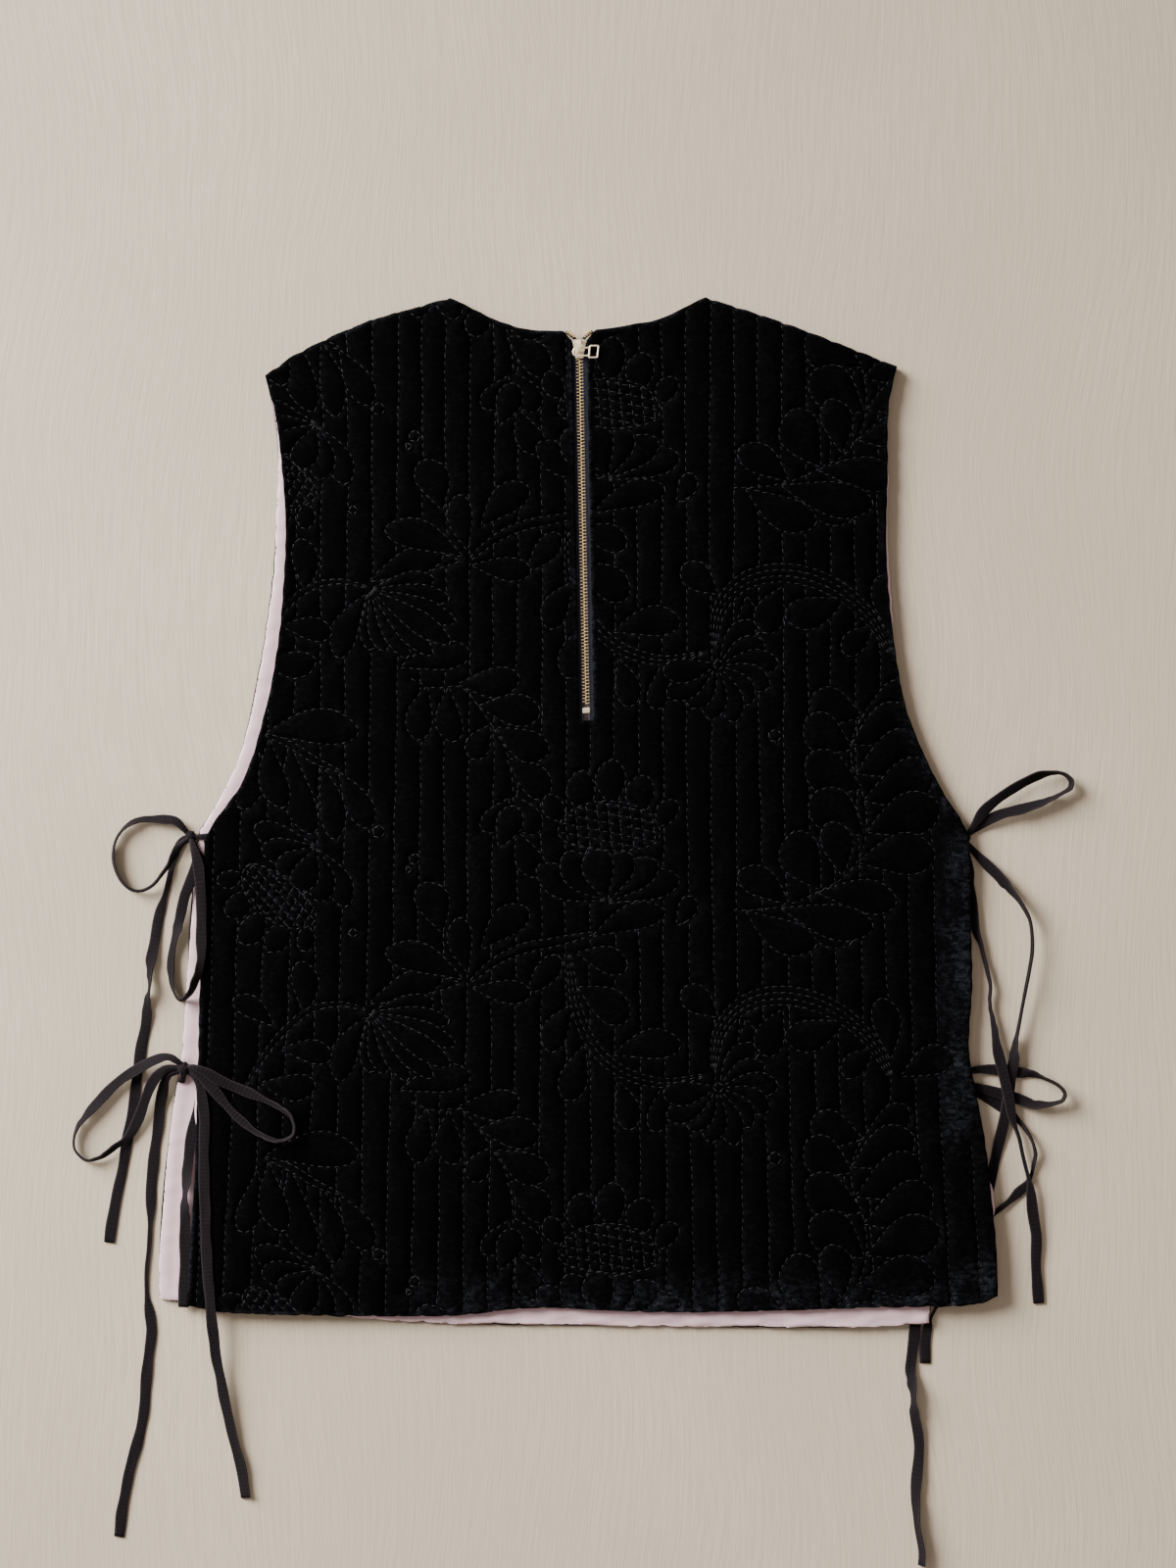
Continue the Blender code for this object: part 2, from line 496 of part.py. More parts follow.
def prism(name, outline, low, high, collection, material=None):
    """An outline raised from low to high."""
    bm = bmesh.new()
    face = bm.faces.new([bm.verts.new(Vector((x, y, low)) * MM) for x, y in outline])
    top = bmesh.ops.extrude_face_region(bm, geom=[face])
    moved = [v for v in top["geom"] if isinstance(v, bmesh.types.BMVert)]
    bmesh.ops.translate(bm, verts=moved, vec=(0, 0, (high - low) * MM))
    bmesh.ops.recalc_face_normals(bm, faces=bm.faces)
    return object_from(bm, name, collection, material)


def block(name, size, middle, collection, material=None, bevel=0.0):
    """A box of this size, with its middle there and its edges rounded by bevel."""
    bm = bmesh.new()
    bmesh.ops.create_cube(bm, size=1)
    bmesh.ops.scale(bm, vec=Vector(size) * MM, verts=bm.verts)
    bmesh.ops.translate(bm, vec=Vector(middle) * MM, verts=bm.verts)
    obj = object_from(bm, name, collection, material)
    if bevel:
        rounding = obj.modifiers.new("rounded edges", "BEVEL")
        rounding.width = bevel * MM
        rounding.segments = 2
        rounding.limit_method = "ANGLE"
    return obj


def combine(obj, other, operation):
    """Cuts another object from this one, or joins it on, and hides the other."""
    modifier = obj.modifiers.new(other.name, "BOOLEAN")
    modifier.operation = operation
    modifier.object = other
    modifier.solver = "EXACT"
    other.hide_render = True
    other.display_type = "WIRE"


def rounded_outline(low_x, high_x, half, radius):
    centres = (
        (high_x - radius, half - radius, 0), (low_x + radius, half - radius, 90),
        (low_x + radius, radius - half, 180), (high_x - radius, radius - half, 270),
    )
    points = []
    for x, y, start in centres:
        for k in range(CORNER_STEPS + 1):
            angle = math.radians(start + 90 * k / CORNER_STEPS)
            points.append((x + radius * math.cos(angle), y + radius * math.sin(angle)))
    return points


def make_panels(collection, cutters, materials):
    velvet, satin = materials["black_velvet"], materials["pink_satin"]
    shoulders = [along(seam, SEAM_CHORDS) for seam in (SHOULDER_LEFT, SHOULDER_RIGHT)]
    back = panel_outline(
        BACK_HEM, BACK_SIDE_LEFT, BACK_ARMHOLE_LEFT, BACK_NECK, BACK_SIDE_RIGHT,
        BACK_ARMHOLE_RIGHT,
    )
    front = panel_outline(
        FRONT_HEM, FRONT_SIDE_LEFT, FRONT_ARMHOLE_LEFT, FRONT_NECK, FRONT_SIDE_RIGHT,
        FRONT_ARMHOLE_RIGHT,
    )
    outline = outline_of(back)

    def front_shell(p):
        return fold_height(p, shoulders, FRONT_SHELL_Z) + corner_lift(p)

    def front_lining(p):
        return FRONT_LINING_Z + corner_lift(p)

    def back_lining(p):
        return BACK_LINING_Z + corner_lift(p) + left_lift(p)

    def back_shell(p):
        flat = BACK_SHELL_Z + puff(p, outline)
        return fold_height(p, shoulders, flat) + corner_lift(p) + left_lift(p)

    back_short = inset(back, LINING_INSET, LINING_SHORT)
    front_short = inset(front, LINING_INSET, LINING_SHORT)
    sheet("front_shell", raised(with_fold_rows(front), front_shell), SHELL, collection, velvet)
    sheet("front_lining", raised(front_short, front_lining), LINING, collection, satin)
    lining = sheet("back_lining", raised(back_short, back_lining), LINING, collection, satin)
    shell = sheet("back_shell", raised(with_fold_rows(back), back_shell), SHELL, collection, velvet)
    for panel, half in ((shell, SLIT_HALF), (lining, LINING_SLIT_HALF)):
        right = [(half, SLIT_END), (half, VEE_FROM), (VEE_HALF, VEE_TO)]
        right.append((VEE_HALF, VEE_TO + CUT_OVER))
        left = [(-x, y) for x, y in reversed(right)]
        cutter = prism("slit_in_" + panel.name, [*right, *left], 0, CUT_OVER, cutters)
        cutter.matrix_world = zip_frame()
        combine(panel, cutter, "DIFFERENCE")


def zip_frame():
    place = Matrix.Translation(Vector((*ZIP_AT, 0)) * MM)
    return place @ Matrix.Rotation(math.radians(ZIP_TURN), 4, "Z")


def make_zip(collection, cutters, materials):
    gold, cloth = materials["pale_gold"], materials["zip_tape"]
    axis = bpy.data.objects.new("zip_axis", None)
    collection.objects.link(axis)
    axis.matrix_world = zip_frame()
    pieces = []
    inner = CHAIN_WIDE / 2 + GAP
    tape_long = TAPE_TOP - TAPE_BOTTOM
    for side, sign in (("left", -1), ("right", 1)):
        middle = (sign * (inner + TAPE_WIDE / 2), (TAPE_TOP + TAPE_BOTTOM) / 2, ZIP_Z)
        size = (TAPE_WIDE, tape_long, TAPE_THICK)
        pieces.append(block("zip_tape_" + side, size, middle, collection, cloth))
        end = block("zip_chain_end_" + side, CHAIN_END, (0, 0, 0), collection, gold, SMALL_EDGE)
        end.location = Vector((sign * CHAIN_END_AT[0], CHAIN_END_AT[1], ZIP_Z)) * MM
        end.rotation_euler.z = math.radians(-sign * CHAIN_END_TURN)
        pieces.append(end)
    chain_long = -GAP - CHAIN_BOTTOM
    chain_middle = (0, (CHAIN_BOTTOM - GAP) / 2, ZIP_Z)
    chain_size = (CHAIN_WIDE, chain_long, CHAIN_THICK)
    pieces.append(block("zip_chain", chain_size, chain_middle, collection, gold, SMALL_EDGE))
    stop_middle = (0, CHAIN_BOTTOM - GAP - STOP_SIZE[1] / 2, ZIP_Z)
    pieces.append(block("zip_stop", STOP_SIZE, stop_middle, collection, gold, SMALL_EDGE))
    pieces.append(make_slider(collection, cutters, gold))
    pull = make_pull(collection, cutters, gold)
    for piece in [*pieces, pull]:
        piece.parent = axis


def make_slider(collection, cutters, gold):
    wide, long, thick = SLIDER
    slider = block("zip_slider", SLIDER, (0, long / 2, ZIP_Z), collection, gold, SLIDER_EDGE)
    top = ZIP_Z + thick / 2
    crown_long = CROWN_TO - CROWN_FROM
    crown_y = (CROWN_TO + CROWN_FROM) / 2
    crown_size = (CROWN_WIDE, crown_long, CROWN_TOP - top + CROWN_SUNK)
    crown = block("crown", crown_size, (0, crown_y, (top - CROWN_SUNK + CROWN_TOP) / 2), cutters)
    tunnel_size = (CROWN_WIDE * 2, crown_long - 2 * CROWN_LEG, TUNNEL_TOP - top)
    tunnel = block("tunnel", tunnel_size, (0, crown_y, (TUNNEL_TOP + top) / 2), cutters)
    combine(slider, crown, "UNION")
    combine(slider, tunnel, "DIFFERENCE")
    depth, height = SLIDER_SLOT
    for side, sign in (("left", -1), ("right", 1)):
        middle = (sign * (wide / 2 - depth + SLOT_CUT / 2), long / 2, ZIP_Z)
        slot = block("slot_" + side, (SLOT_CUT, long * 2, height), middle, cutters)
        combine(slider, slot, "DIFFERENCE")
    for cutter in cutters.objects:
        if cutter.name.startswith(("crown", "tunnel", "slot")):
            cutter.parent = collection.objects["zip_axis"]
    return slider


def make_pull(collection, cutters, gold):
    """The pull tab, with its origin on the swivel axis, the middle of the crown's lower leg."""
    low, high = -PULL_WIRE / 2, PULL_WIRE / 2
    pull = prism("zip_pull", rounded_outline(*RING), low, high, collection, gold)
    grip = prism("grip", rounded_outline(*GRIP), low, high, cutters)
    combine(pull, grip, "UNION")
    for name, (low_x, high_x, half, radius) in (("ring_hole", RING), ("grip_hole", GRIP)):
        size = (low_x + PULL_WIRE, high_x - PULL_WIRE, half - PULL_WIRE)
        outline = rounded_outline(*size, max(radius - PULL_WIRE, HOLE_RADIUS))
        hole = prism(name, outline, low - 1, high + 1, cutters)
        hole.parent = pull
        combine(pull, hole, "DIFFERENCE")
    grip.parent = pull
    pull.location = Vector((0, CROWN_FROM + CROWN_LEG / 2, PULL_Z)) * MM
    return pull


def make_knots(collection, material):
    for name, (x, y, z, rx, ry, rz) in KNOTS.items():
        bm = bmesh.new()
        bmesh.ops.create_uvsphere(bm, u_segments=KNOT_FACES, v_segments=KNOT_FACES, radius=MM)
        bmesh.ops.scale(bm, vec=(rx, ry, rz), verts=bm.verts)
        knot = object_from(bm, name, collection, material)
        knot.location = Vector((x, y, z)) * MM
        knot.data.shade_smooth()


def tie_ring(curve, t, knot):
    """The four corners of a tie's section at t, narrower near its knot."""
    at = curve(t)
    ahead, behind = curve(min(t + TANGENT_STEP, 1)), curve(max(t - TANGENT_STEP, 0))
    tangent = (ahead.xyz - behind.xyz).normalized()
    flat = tangent.cross(Vector((0, 0, 1))).normalized()
    side = Matrix.Rotation(math.radians(at.w), 3, tangent) @ flat
    up = side.cross(tangent)
    near = ease((at.xyz - Vector(knot[:3])).length / GATHER_RUN)
    half = TIE_WIDE / 2 * (GATHER + (1 - GATHER) * near)
    corners = ((1, 1), (-1, 1), (-1, -1), (1, -1))
    return [at.xyz + side * half * a + up * TIE_THICK / 2 * b for a, b in corners]


def clears(ring, knot):
    """Whether the section stays outside the knot."""
    middle, sizes = Vector(knot[:3]), Vector(knot[3:]) + Vector((KNOT_GAP,) * 3)
    tested = [*ring, (ring[0] + ring[1]) / 2, (ring[2] + ring[3]) / 2]
    return all(sum(((p - middle)[i] / sizes[i]) ** 2 for i in range(3)) > 1 for p in tested)


def clear_runs(curve, knot, long):
    """The start and end of every stretch of the tie outside its knot."""
    steps = round(long / TIE_PROBE)
    runs, run = [], []
    for k in range(steps + 1):
        if clears(tie_ring(curve, k / steps, knot), knot):
            run.append(k / steps)
        else:
            runs.append(run)
            run = []
    runs.append(run)
    return [(run[0], run[-1]) for run in runs if len(run) > 1]


def make_ties(collection, material):
    for name, (knot_name, stretches, route) in TIES.items():
        knot = KNOTS[knot_name]
        points = [Vector(row) for row in route]
        long = sum((b.xyz - a.xyz).length for a, b in zip(points, points[1:]))
        curve = spline(points)
        runs = clear_runs(curve, knot, long)
        if len(runs) != len(stretches):
            raise ValueError(f"{name} leaves its knot in {len(runs)} stretches")
        for stretch, (start, end) in zip(stretches, runs):
            faces = max(2, round((end - start) * long / TIE_STEP))
            at = [start + (end - start) * k / faces for k in range(faces + 1)]
            bm = bmesh.new()
            rings = [[bm.verts.new(c * MM) for c in tie_ring(curve, t, knot)] for t in at]
            for a, b in zip(rings, rings[1:]):
                for i in range(4):
                    bm.faces.new((a[i], a[i - 1], b[i - 1], b[i]))
            bm.faces.new(rings[0])
            bm.faces.new(reversed(rings[-1]))
            bmesh.ops.recalc_face_normals(bm, faces=bm.faces)
            object_from(bm, f"{name}_{stretch}", collection, material)


def main():
    clear_scene()
    parts = new_collection("quilted_waistcoat")
    cutters = new_collection("cutters")
    materials = make_materials()
    make_panels(parts, cutters, materials)
    make_zip(parts, cutters, materials)
    make_knots(parts, materials["cotton_tape"])
    make_ties(parts, materials["cotton_tape"])


main()
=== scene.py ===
"""Quilted black velvet waistcoat with side ties, laid flat with its back up.

Builds the shells, linings, zip, ties and knots over the plain frame, each in its own material, and
a pale floor with soft light. Sizes in the tables are in millimetres and degrees.
"""

import math

import bmesh
import bpy
import numpy as np
from bpy.props import FloatProperty, PointerProperty, StringProperty
from mathutils import Matrix, Vector
from mathutils.geometry import delaunay_2d_cdt
from mathutils.kdtree import KDTree


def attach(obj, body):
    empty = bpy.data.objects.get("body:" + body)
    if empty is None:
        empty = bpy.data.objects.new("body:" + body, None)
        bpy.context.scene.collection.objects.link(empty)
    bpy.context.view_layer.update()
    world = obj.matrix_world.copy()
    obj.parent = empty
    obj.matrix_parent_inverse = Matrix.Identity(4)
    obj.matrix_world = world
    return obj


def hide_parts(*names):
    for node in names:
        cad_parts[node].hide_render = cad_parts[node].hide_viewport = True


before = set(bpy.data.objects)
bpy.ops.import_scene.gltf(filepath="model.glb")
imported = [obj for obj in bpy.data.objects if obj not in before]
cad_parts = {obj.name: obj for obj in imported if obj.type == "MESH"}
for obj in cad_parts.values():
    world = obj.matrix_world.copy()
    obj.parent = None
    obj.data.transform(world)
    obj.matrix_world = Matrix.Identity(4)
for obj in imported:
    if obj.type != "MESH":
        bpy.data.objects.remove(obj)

bl_info = {
    "name": "Quilted waistcoat",
    "version": (1, 0, 0),
    "blender": (4, 5, 0),
    "location": "View3D > Sidebar > Waistcoat",
    "description": "Builds a quilted velvet waistcoat with side ties, laid flat",
    "category": "Object",
}

MM = 0.001
GARMENT, PULL = "garment", "pull"
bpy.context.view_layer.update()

# Heights of the layers, from the surface up
FRONT_LINING_TOP = 3.5
BACK_LINING_TOP = 4.7
BACK_SHELL_BOTTOM = 5.1
BACK_SHELL_TOP = 7.3
SHOULDER_SEAM = 3.65  # middle of the shoulders' rounded folds
PUFF = 1.1  # rise of the back shell from its pressed edges to its middle
PUFF_RUN = 60.0  # over this distance from an edge
PUFF_AT_ZIP = 22.0  # but all of it this close to the zip, over its tapes

# Edges of the back panel, each as x, y from its lower or left end
BACK_HEM = (
    (-227.8, -287.4), (-204.9, -291.4), (-154.5, -293.1), (-108.6, -293.7), (-68.5, -293.1),
    (-38.7, -289.7), (-18.1, -288.8), (17.4, -290.3), (58.1, -291.4), (117.7, -290.3),
    (173.8, -288.3), (231.1, -286.8), (244.9, -281.7),
)
BACK_SIDE_LEFT = (
    (-227.8, -287.4), (-223.2, -206.6), (-221.5, -147.6), (-220.4, -106.3), (-218.7, -69.1),
    (-217.5, -31.9), (-218.1, -16.4),
)
BACK_ARMHOLE_LEFT = (
    (-218.1, -16.4), (-211.2, -4.4), (-195.7, 18.0), (-186.0, 45.5), (-176.8, 85.6),
    (-171.7, 131.4), (-170.5, 168.7), (-172.5, 200.2), (-176.3, 231.7), (-182.6, 255.2),
)
BACK_SIDE_RIGHT = (
    (244.9, -281.7), (243.8, -252.5), (240.9, -220.9), (237.5, -190.6), (231.7, -159.6),
    (228.3, -137.9), (230.0, -100.0), (229.4, -63.4), (229.4, -31.9), (227.4, -11.8),
)
BACK_ARMHOLE_RIGHT = (
    (227.4, -11.8), (221.8, -0.9), (212.2, 13.4), (199.1, 40.9), (190.2, 65.6),
    (183.2, 109.7), (180.2, 149.8), (180.6, 193.9), (181.6, 238.6), (186.2, 260.4),
)
SHOULDER_LEFT = (
    (-182.6, 255.2), (-165.4, 267.2), (-141.9, 279.0), (-120.1, 287.9), (-97.8, 294.2),
    (-74.8, 300.7),
)
SHOULDER_RIGHT = (
    (74.7, 300.9), (92.8, 295.3), (113.7, 288.4), (138.6, 279.3), (166.4, 268.4), (186.2, 260.4),
)
BACK_NECK = (
    (-74.8, 300.7), (-65.7, 296.5), (-48.5, 287.9), (-29.6, 282.1), (-8.9, 281.0), (10.0, 281.6),
    (28.9, 284.4), (47.2, 287.9), (61.0, 294.2), (74.7, 300.9),
)

# Edges of the front panel, which lies underneath, about 17 mm to the left of the back
FRONT_HEM = (
    (-244.4, -284.0), (-231.8, -286.3), (-143.0, -294.3), (-68.5, -298.9), (24.9, -299.9),
    (99.4, -300.9), (154.9, -300.8), (205.8, -298.5),
)
FRONT_SIDE_LEFT = (
    (-244.4, -284.0), (-244.4, -247.3), (-239.9, -196.3), (-236.4, -170.5), (-230.7, -132.1),
    (-228.6, -99.5), (-226.7, -63.9), (-224.4, -31.9), (-220.9, -9.5),
)
FRONT_ARMHOLE_LEFT = (
    (-220.9, -9.5), (-208.3, 10.0), (-197.5, 34.0), (-190.0, 65.6), (-183.1, 102.8),
    (-178.0, 142.9), (-175.7, 183.0), (-175.1, 208.2), (-177.4, 231.7), (-182.6, 255.2),
)
FRONT_SIDE_RIGHT = (
    (205.8, -298.5), (209.4, -241.0), (213.4, -155.1), (215.7, -69.1), (217.4, -11.8),
)
FRONT_ARMHOLE_RIGHT = (
    (217.4, -11.8), (206.5, 16.8), (189.3, 59.8), (180.7, 102.8), (177.3, 148.6),
    (177.3, 193.9), (179.6, 238.6), (186.2, 260.4),
)
FRONT_NECK = (
    (-74.8, 300.7), (-62.8, 274.7), (-39.9, 240.3), (0.2, 220.3), (40.3, 240.3), (63.3, 274.7),
    (74.7, 300.9),
)

# Ties: the knot that holds each, the stretches of the plain frame that it stands for, and its route,
# given as x, y, z and the tape's roll about its own line
TIES = {
    "tie_upper_left_1": ("knot_upper_left", ("stem", "loop", "tail"), (
        (-218.7, -13.8, 4.6, 0), (-221.0, -13.8, 4.6, 0), (-225.8, -13.8, 3.1, 0),
        (-229.4, -9.5, 4.4, 5), (-234.7, -4.9, 4.6, 15), (-241.0, -4.1, 4.0, 20),
        (-247.9, -3.8, 3.2, 25), (-254.2, -3.8, 3.0, 35), (-261.1, -6.1, 3.2, 55),
        (-266.8, -11.2, 3.3, 75), (-270.2, -17.5, 3.3, 85), (-271.4, -26.1, 3.3, 90),
        (-269.9, -33.6, 3.3, 88), (-266.2, -40.5, 3.4, 85), (-261.1, -44.8, 3.3, 85),
        (-254.8, -45.6, 3.7, 85), (-247.9, -42.2, 4.6, 80), (-242.7, -35.9, 4.9, 70),
        (-238.1, -29.0, 4.7, 50), (-234.1, -22.1, 4.2, 20), (-230.5, -17.5, 3.6, 0),
        (-225.8, -13.8, 3.1, 0), (-229.6, -14.7, 1.6, 0), (-233.0, -18.0, 1.4, 0),
        (-236.4, -29.0, 0.6, 0), (-239.9, -43.3, 0.6, 0), (-245.0, -60.5, 0.6, 0),
        (-247.9, -77.1, 1.2, 5), (-249.6, -89.2, 2.4, 20), (-250.2, -102.9, 3.9, 75),
        (-251.9, -112.7, 1.7, 20), (-253.0, -126.4, 0.7, 0), (-255.3, -138.4, 0.6, 0),
        (-257.6, -155.6, 0.6, 0), (-260.2, -173.4, 0.6, 0), (-263.4, -190.6, 0.6, 0),
        (-266.2, -208.3, 0.6, 0), (-269.7, -226.1, 0.6, 0), (-272.5, -239.9, 0.6, 0),
        (-274.0, -251.3, 0.6, 0),
    )),
    "tie_upper_left_2": ("knot_upper_left", ("loop", "tail"), (
        (-225.8, -13.8, 3.1, 0), (-223.8, -18.6, 5.2, 0), (-222.6, -24.4, 5.4, 0),
        (-223.0, -31.3, 5.2, 0), (-225.5, -39.3, 5.0, 0), (-229.0, -48.5, 4.6, 0),
        (-232.1, -60.5, 3.4, 5), (-235.3, -73.1, 3.2, 45), (-237.3, -83.4, 2.4, 30),
        (-237.8, -92.6, 2.7, 40), (-236.4, -102.9, 3.4, 70), (-233.0, -108.6, 5.0, 85),
        (-229.0, -108.0, 7.2, 75), (-225.4, -104.3, 9.4, 60), (-222.4, -97.8, 10.8, 40),
        (-220.4, -90.4, 10.2, 20), (-219.3, -79.6, 9.5, 0), (-219.2, -48.5, 9.3, 0),
        (-220.4, -34.7, 9.4, 0), (-222.6, -25.0, 9.2, 0), (-224.6, -18.7, 7.6, 0),
        (-225.8, -13.8, 3.1, 0), (-223.8, -18.4, 4.0, 0), (-222.0, -23.0, 4.2, 0),
        (-219.2, -28.8, 4.2, 0), (-216.4, -40.5, 4.2, 0), (-216.1, -109.2, 4.2, 0),
        (-216.9, -143.6, 4.2, 0), (-218.9, -161.9, 4.2, 0), (-222.4, -175.7, 4.2, 0),
        (-224.4, -183.1, 4.2, 0), (-226.3, -193.4, 4.2, 0), (-227.5, -203.8, 4.4, 5),
        (-228.0, -212.4, 5.4, 20), (-229.0, -222.8, 7.0, 60), (-229.2, -230.0, 6.2, 35),
        (-229.3, -237.2, 4.7, 8), (-229.4, -247.3, 4.2, 0), (-229.5, -270.8, 4.2, 0),
        (-230.1, -288.6, 4.2, 0),
    )),
    "tie_lower_left_1": ("knot_lower_left", ("stem", "loop", "tail"), (
        (-231.6, -160.5, 4.2, 0), (-231.4, -157.0, 4.2, 0), (-229.3, -149.3, 7.5, 0),
        (-233.4, -144.7, 9.4, 0), (-239.3, -142.2, 8.6, 15), (-246.2, -143.6, 7.0, 25),
        (-256.5, -149.3, 4.8, 20), (-266.2, -155.6, 3.4, 15), (-277.7, -166.5, 3.0, 20),
        (-288.3, -178.0, 3.2, 40), (-293.7, -188.3, 3.4, 75), (-293.7, -196.9, 3.4, 85),
        (-288.3, -202.6, 3.4, 85), (-280.0, -201.5, 3.8, 60), (-270.8, -195.7, 3.6, 30),
        (-262.8, -189.4, 2.7, 10), (-257.6, -180.3, 2.8, 0), (-252.4, -167.7, 4.4, 0),
        (-246.8, -155.6, 6.2, 0), (-239.6, -149.2, 7.4, 0), (-229.3, -149.3, 7.5, 0),
        (-234.0, -151.5, 6.6, 0), (-237.6, -152.6, 6.1, 0), (-240.6, -156.4, 4.6, 0),
        (-242.4, -162.9, 2.6, 0), (-244.4, -172.8, 1.0, 0), (-246.2, -188.3, 0.6, 0),
        (-247.9, -202.6, 0.6, 0), (-249.6, -226.1, 0.6, 0), (-250.2, -243.3, 0.6, 0),
        (-251.9, -270.2, 0.6, 0), (-251.9, -282.3, 0.6, 0), (-250.2, -293.7, 0.6, 0),
        (-249.6, -304.0, 0.6, 0), (-251.9, -327.0, 0.6, 0), (-253.0, -344.1, 0.6, 0),
        (-255.9, -361.3, 0.6, 0), (-260.5, -378.5, 0.6, 0), (-266.2, -407.2, 0.6, 0),
        (-268.5, -423.2, 0.6, 0),
    )),
    "tie_lower_left_2": ("knot_lower_left", ("loop", "tail"), (
        (-229.3, -149.3, 7.5, 0), (-223.8, -147.8, 11.4, 0), (-216.4, -150.6, 11.6, 0),
        (-210.1, -154.5, 11.0, 0), (-198.0, -160.2, 9.8, 0), (-186.6, -165.4, 9.7, 0),
        (-176.3, -170.0, 10.3, 5), (-168.8, -174.5, 12.1, 45), (-164.8, -181.4, 12.7, 80),
        (-165.4, -187.1, 12.7, 85), (-171.1, -190.6, 12.6, 75), (-179.7, -189.4, 11.9, 40),
        (-188.9, -184.8, 10.3, 5), (-198.0, -176.8, 9.8, 0), (-205.5, -168.8, 9.8, 0),
        (-211.8, -161.4, 10.2, 0), (-218.7, -154.5, 10.3, 0), (-223.8, -151.2, 10.2, 0),
        (-229.3, -149.3, 7.5, 0), (-224.0, -152.8, 9.0, 0), (-220.6, -158.3, 9.1, 0),
        (-218.7, -167.7, 9.2, 0), (-217.5, -178.0, 9.2, 0), (-217.5, -206.6, 9.2, 0),
        (-216.9, -241.6, 9.2, 0), (-215.8, -259.3, 9.2, 0), (-214.6, -276.5, 9.2, 0),
        (-213.9, -288.5, 9.3, 0), (-213.4, -294.4, 9.2, 0), (-212.9, -299.4, 8.9, 0),
        (-212.3, -305.0, 8.3, 0), (-211.2, -314.3, 7.0, 5), (-208.9, -327.0, 5.3, 12),
        (-203.2, -358.5, 2.7, 20), (-196.3, -384.3, 1.9, 20), (-194.0, -400.3, 1.7, 20),
    )),
    "tie_upper_right_1": ("knot_upper_right", ("loop", "tail"), (
        (226.3, -15.2, 1.8, 0), (230.0, -9.7, 3.2, 0), (236.3, 0.2, 4.6, 10),
        (244.9, 8.3, 5.2, 20), (257.5, 16.0, 5.2, 25), (267.8, 21.1, 5.0, 40),
        (277.0, 23.4, 4.8, 60), (283.9, 22.6, 4.6, 80), (287.9, 18.6, 4.5, 65),
        (287.3, 14.6, 4.5, 60), (282.1, 11.1, 4.6, 85), (276.4, 8.0, 4.7, 70),
        (266.1, 4.5, 4.6, 40), (252.9, 0.8, 4.3, 20), (243.2, -2.6, 3.4, 5),
        (235.2, -7.8, 2.0, 0), (226.3, -15.2, 1.8, 0), (230.4, -21.5, 1.2, 0),
        (236.3, -27.8, 2.4, 10), (243.2, -34.7, 3.4, 15), (248.9, -40.5, 4.4, 30),
        (252.9, -45.6, 5.2, 60), (259.2, -54.2, 6.2, 75), (263.8, -63.4, 6.8, 75),
        (265.0, -80.6, 7.0, 60), (263.2, -92.6, 6.8, 70), (260.9, -104.1, 6.2, 70),
        (256.9, -126.4, 4.8, 80), (255.2, -136.7, 4.0, 50), (253.5, -153.3, 3.1, 0),
        (250.6, -172.2, 2.9, 0), (246.6, -190.6, 1.2, 0), (244.3, -201.5, 0.6, 0),
        (242.0, -211.2, 0.6, 0), (236.9, -235.3, 0.6, 0), (227.7, -254.8, 0.6, 0),
        (215.1, -280.0, 0.6, 0), (207.1, -294.3, 0.6, 0), (203.6, -306.9, 0.6, 0),
        (203.1, -321.8, 0.6, 0),
    )),
    "tie_upper_right_2": ("knot_upper_right", ("tail",), (
        (226.3, -15.2, 1.8, 0), (227.1, -22.5, 2.8, 0), (228.3, -31.9, 2.4, 0),
        (229.4, -47.3, 2.0, 20), (232.3, -68.0, 2.6, 20), (235.7, -77.7, 3.0, 30),
        (239.2, -92.6, 3.4, 50), (240.9, -102.3, 3.5, 75), (240.6, -108.6, 3.5, 85),
        (241.5, -117.2, 3.3, 50), (243.8, -129.3, 3.6, 15), (246.0, -142.4, 4.2, 0),
        (248.9, -154.5, 4.6, 0), (251.2, -165.9, 4.6, 0), (253.5, -178.0, 4.2, 0),
        (257.5, -188.9, 3.6, 0), (259.8, -199.2, 3.7, 0), (262.1, -208.3, 3.9, 0),
        (263.8, -216.4, 3.8, 0), (265.2, -230.7, 3.2, 0), (266.7, -240.4, 2.7, 0),
        (267.8, -247.9, 2.4, 0), (268.1, -266.8, 1.6, 0), (269.5, -286.8, 0.9, 0),
    )),
    "tie_lower_right_1": ("knot_lower_right", ("loop", "tail"), (
        (222.6, -156.2, 1.8, 0), (227.5, -151.4, 2.9, 0), (232.9, -150.2, 2.6, 0),
        (240.9, -150.2, 1.7, 0), (255.8, -151.6, 1.7, 0), (265.0, -152.2, 3.2, 45),
        (272.4, -155.1, 4.3, 75), (280.4, -159.1, 5.0, 80), (284.4, -164.2, 5.2, 85),
        (282.7, -168.2, 5.0, 85), (269.5, -170.5, 3.8, 45), (262.1, -169.1, 2.4, 15),
        (256.1, -166.8, 1.7, 0), (244.3, -163.6, 2.0, 0), (232.3, -160.0, 2.6, 0),
        (222.6, -156.2, 1.8, 0), (229.4, -162.4, 0.7, 0), (236.9, -165.2, 0.6, 0),
        (247.8, -172.2, 0.6, 0), (255.8, -178.0, 1.0, 15), (262.1, -186.0, 3.0, 55),
        (266.1, -194.0, 3.6, 75), (267.2, -202.0, 2.7, 45), (262.8, -216.4, 0.8, 0),
        (255.8, -223.4, 0.9, 0), (248.9, -229.5, 1.8, 0), (242.6, -234.6, 1.9, 0),
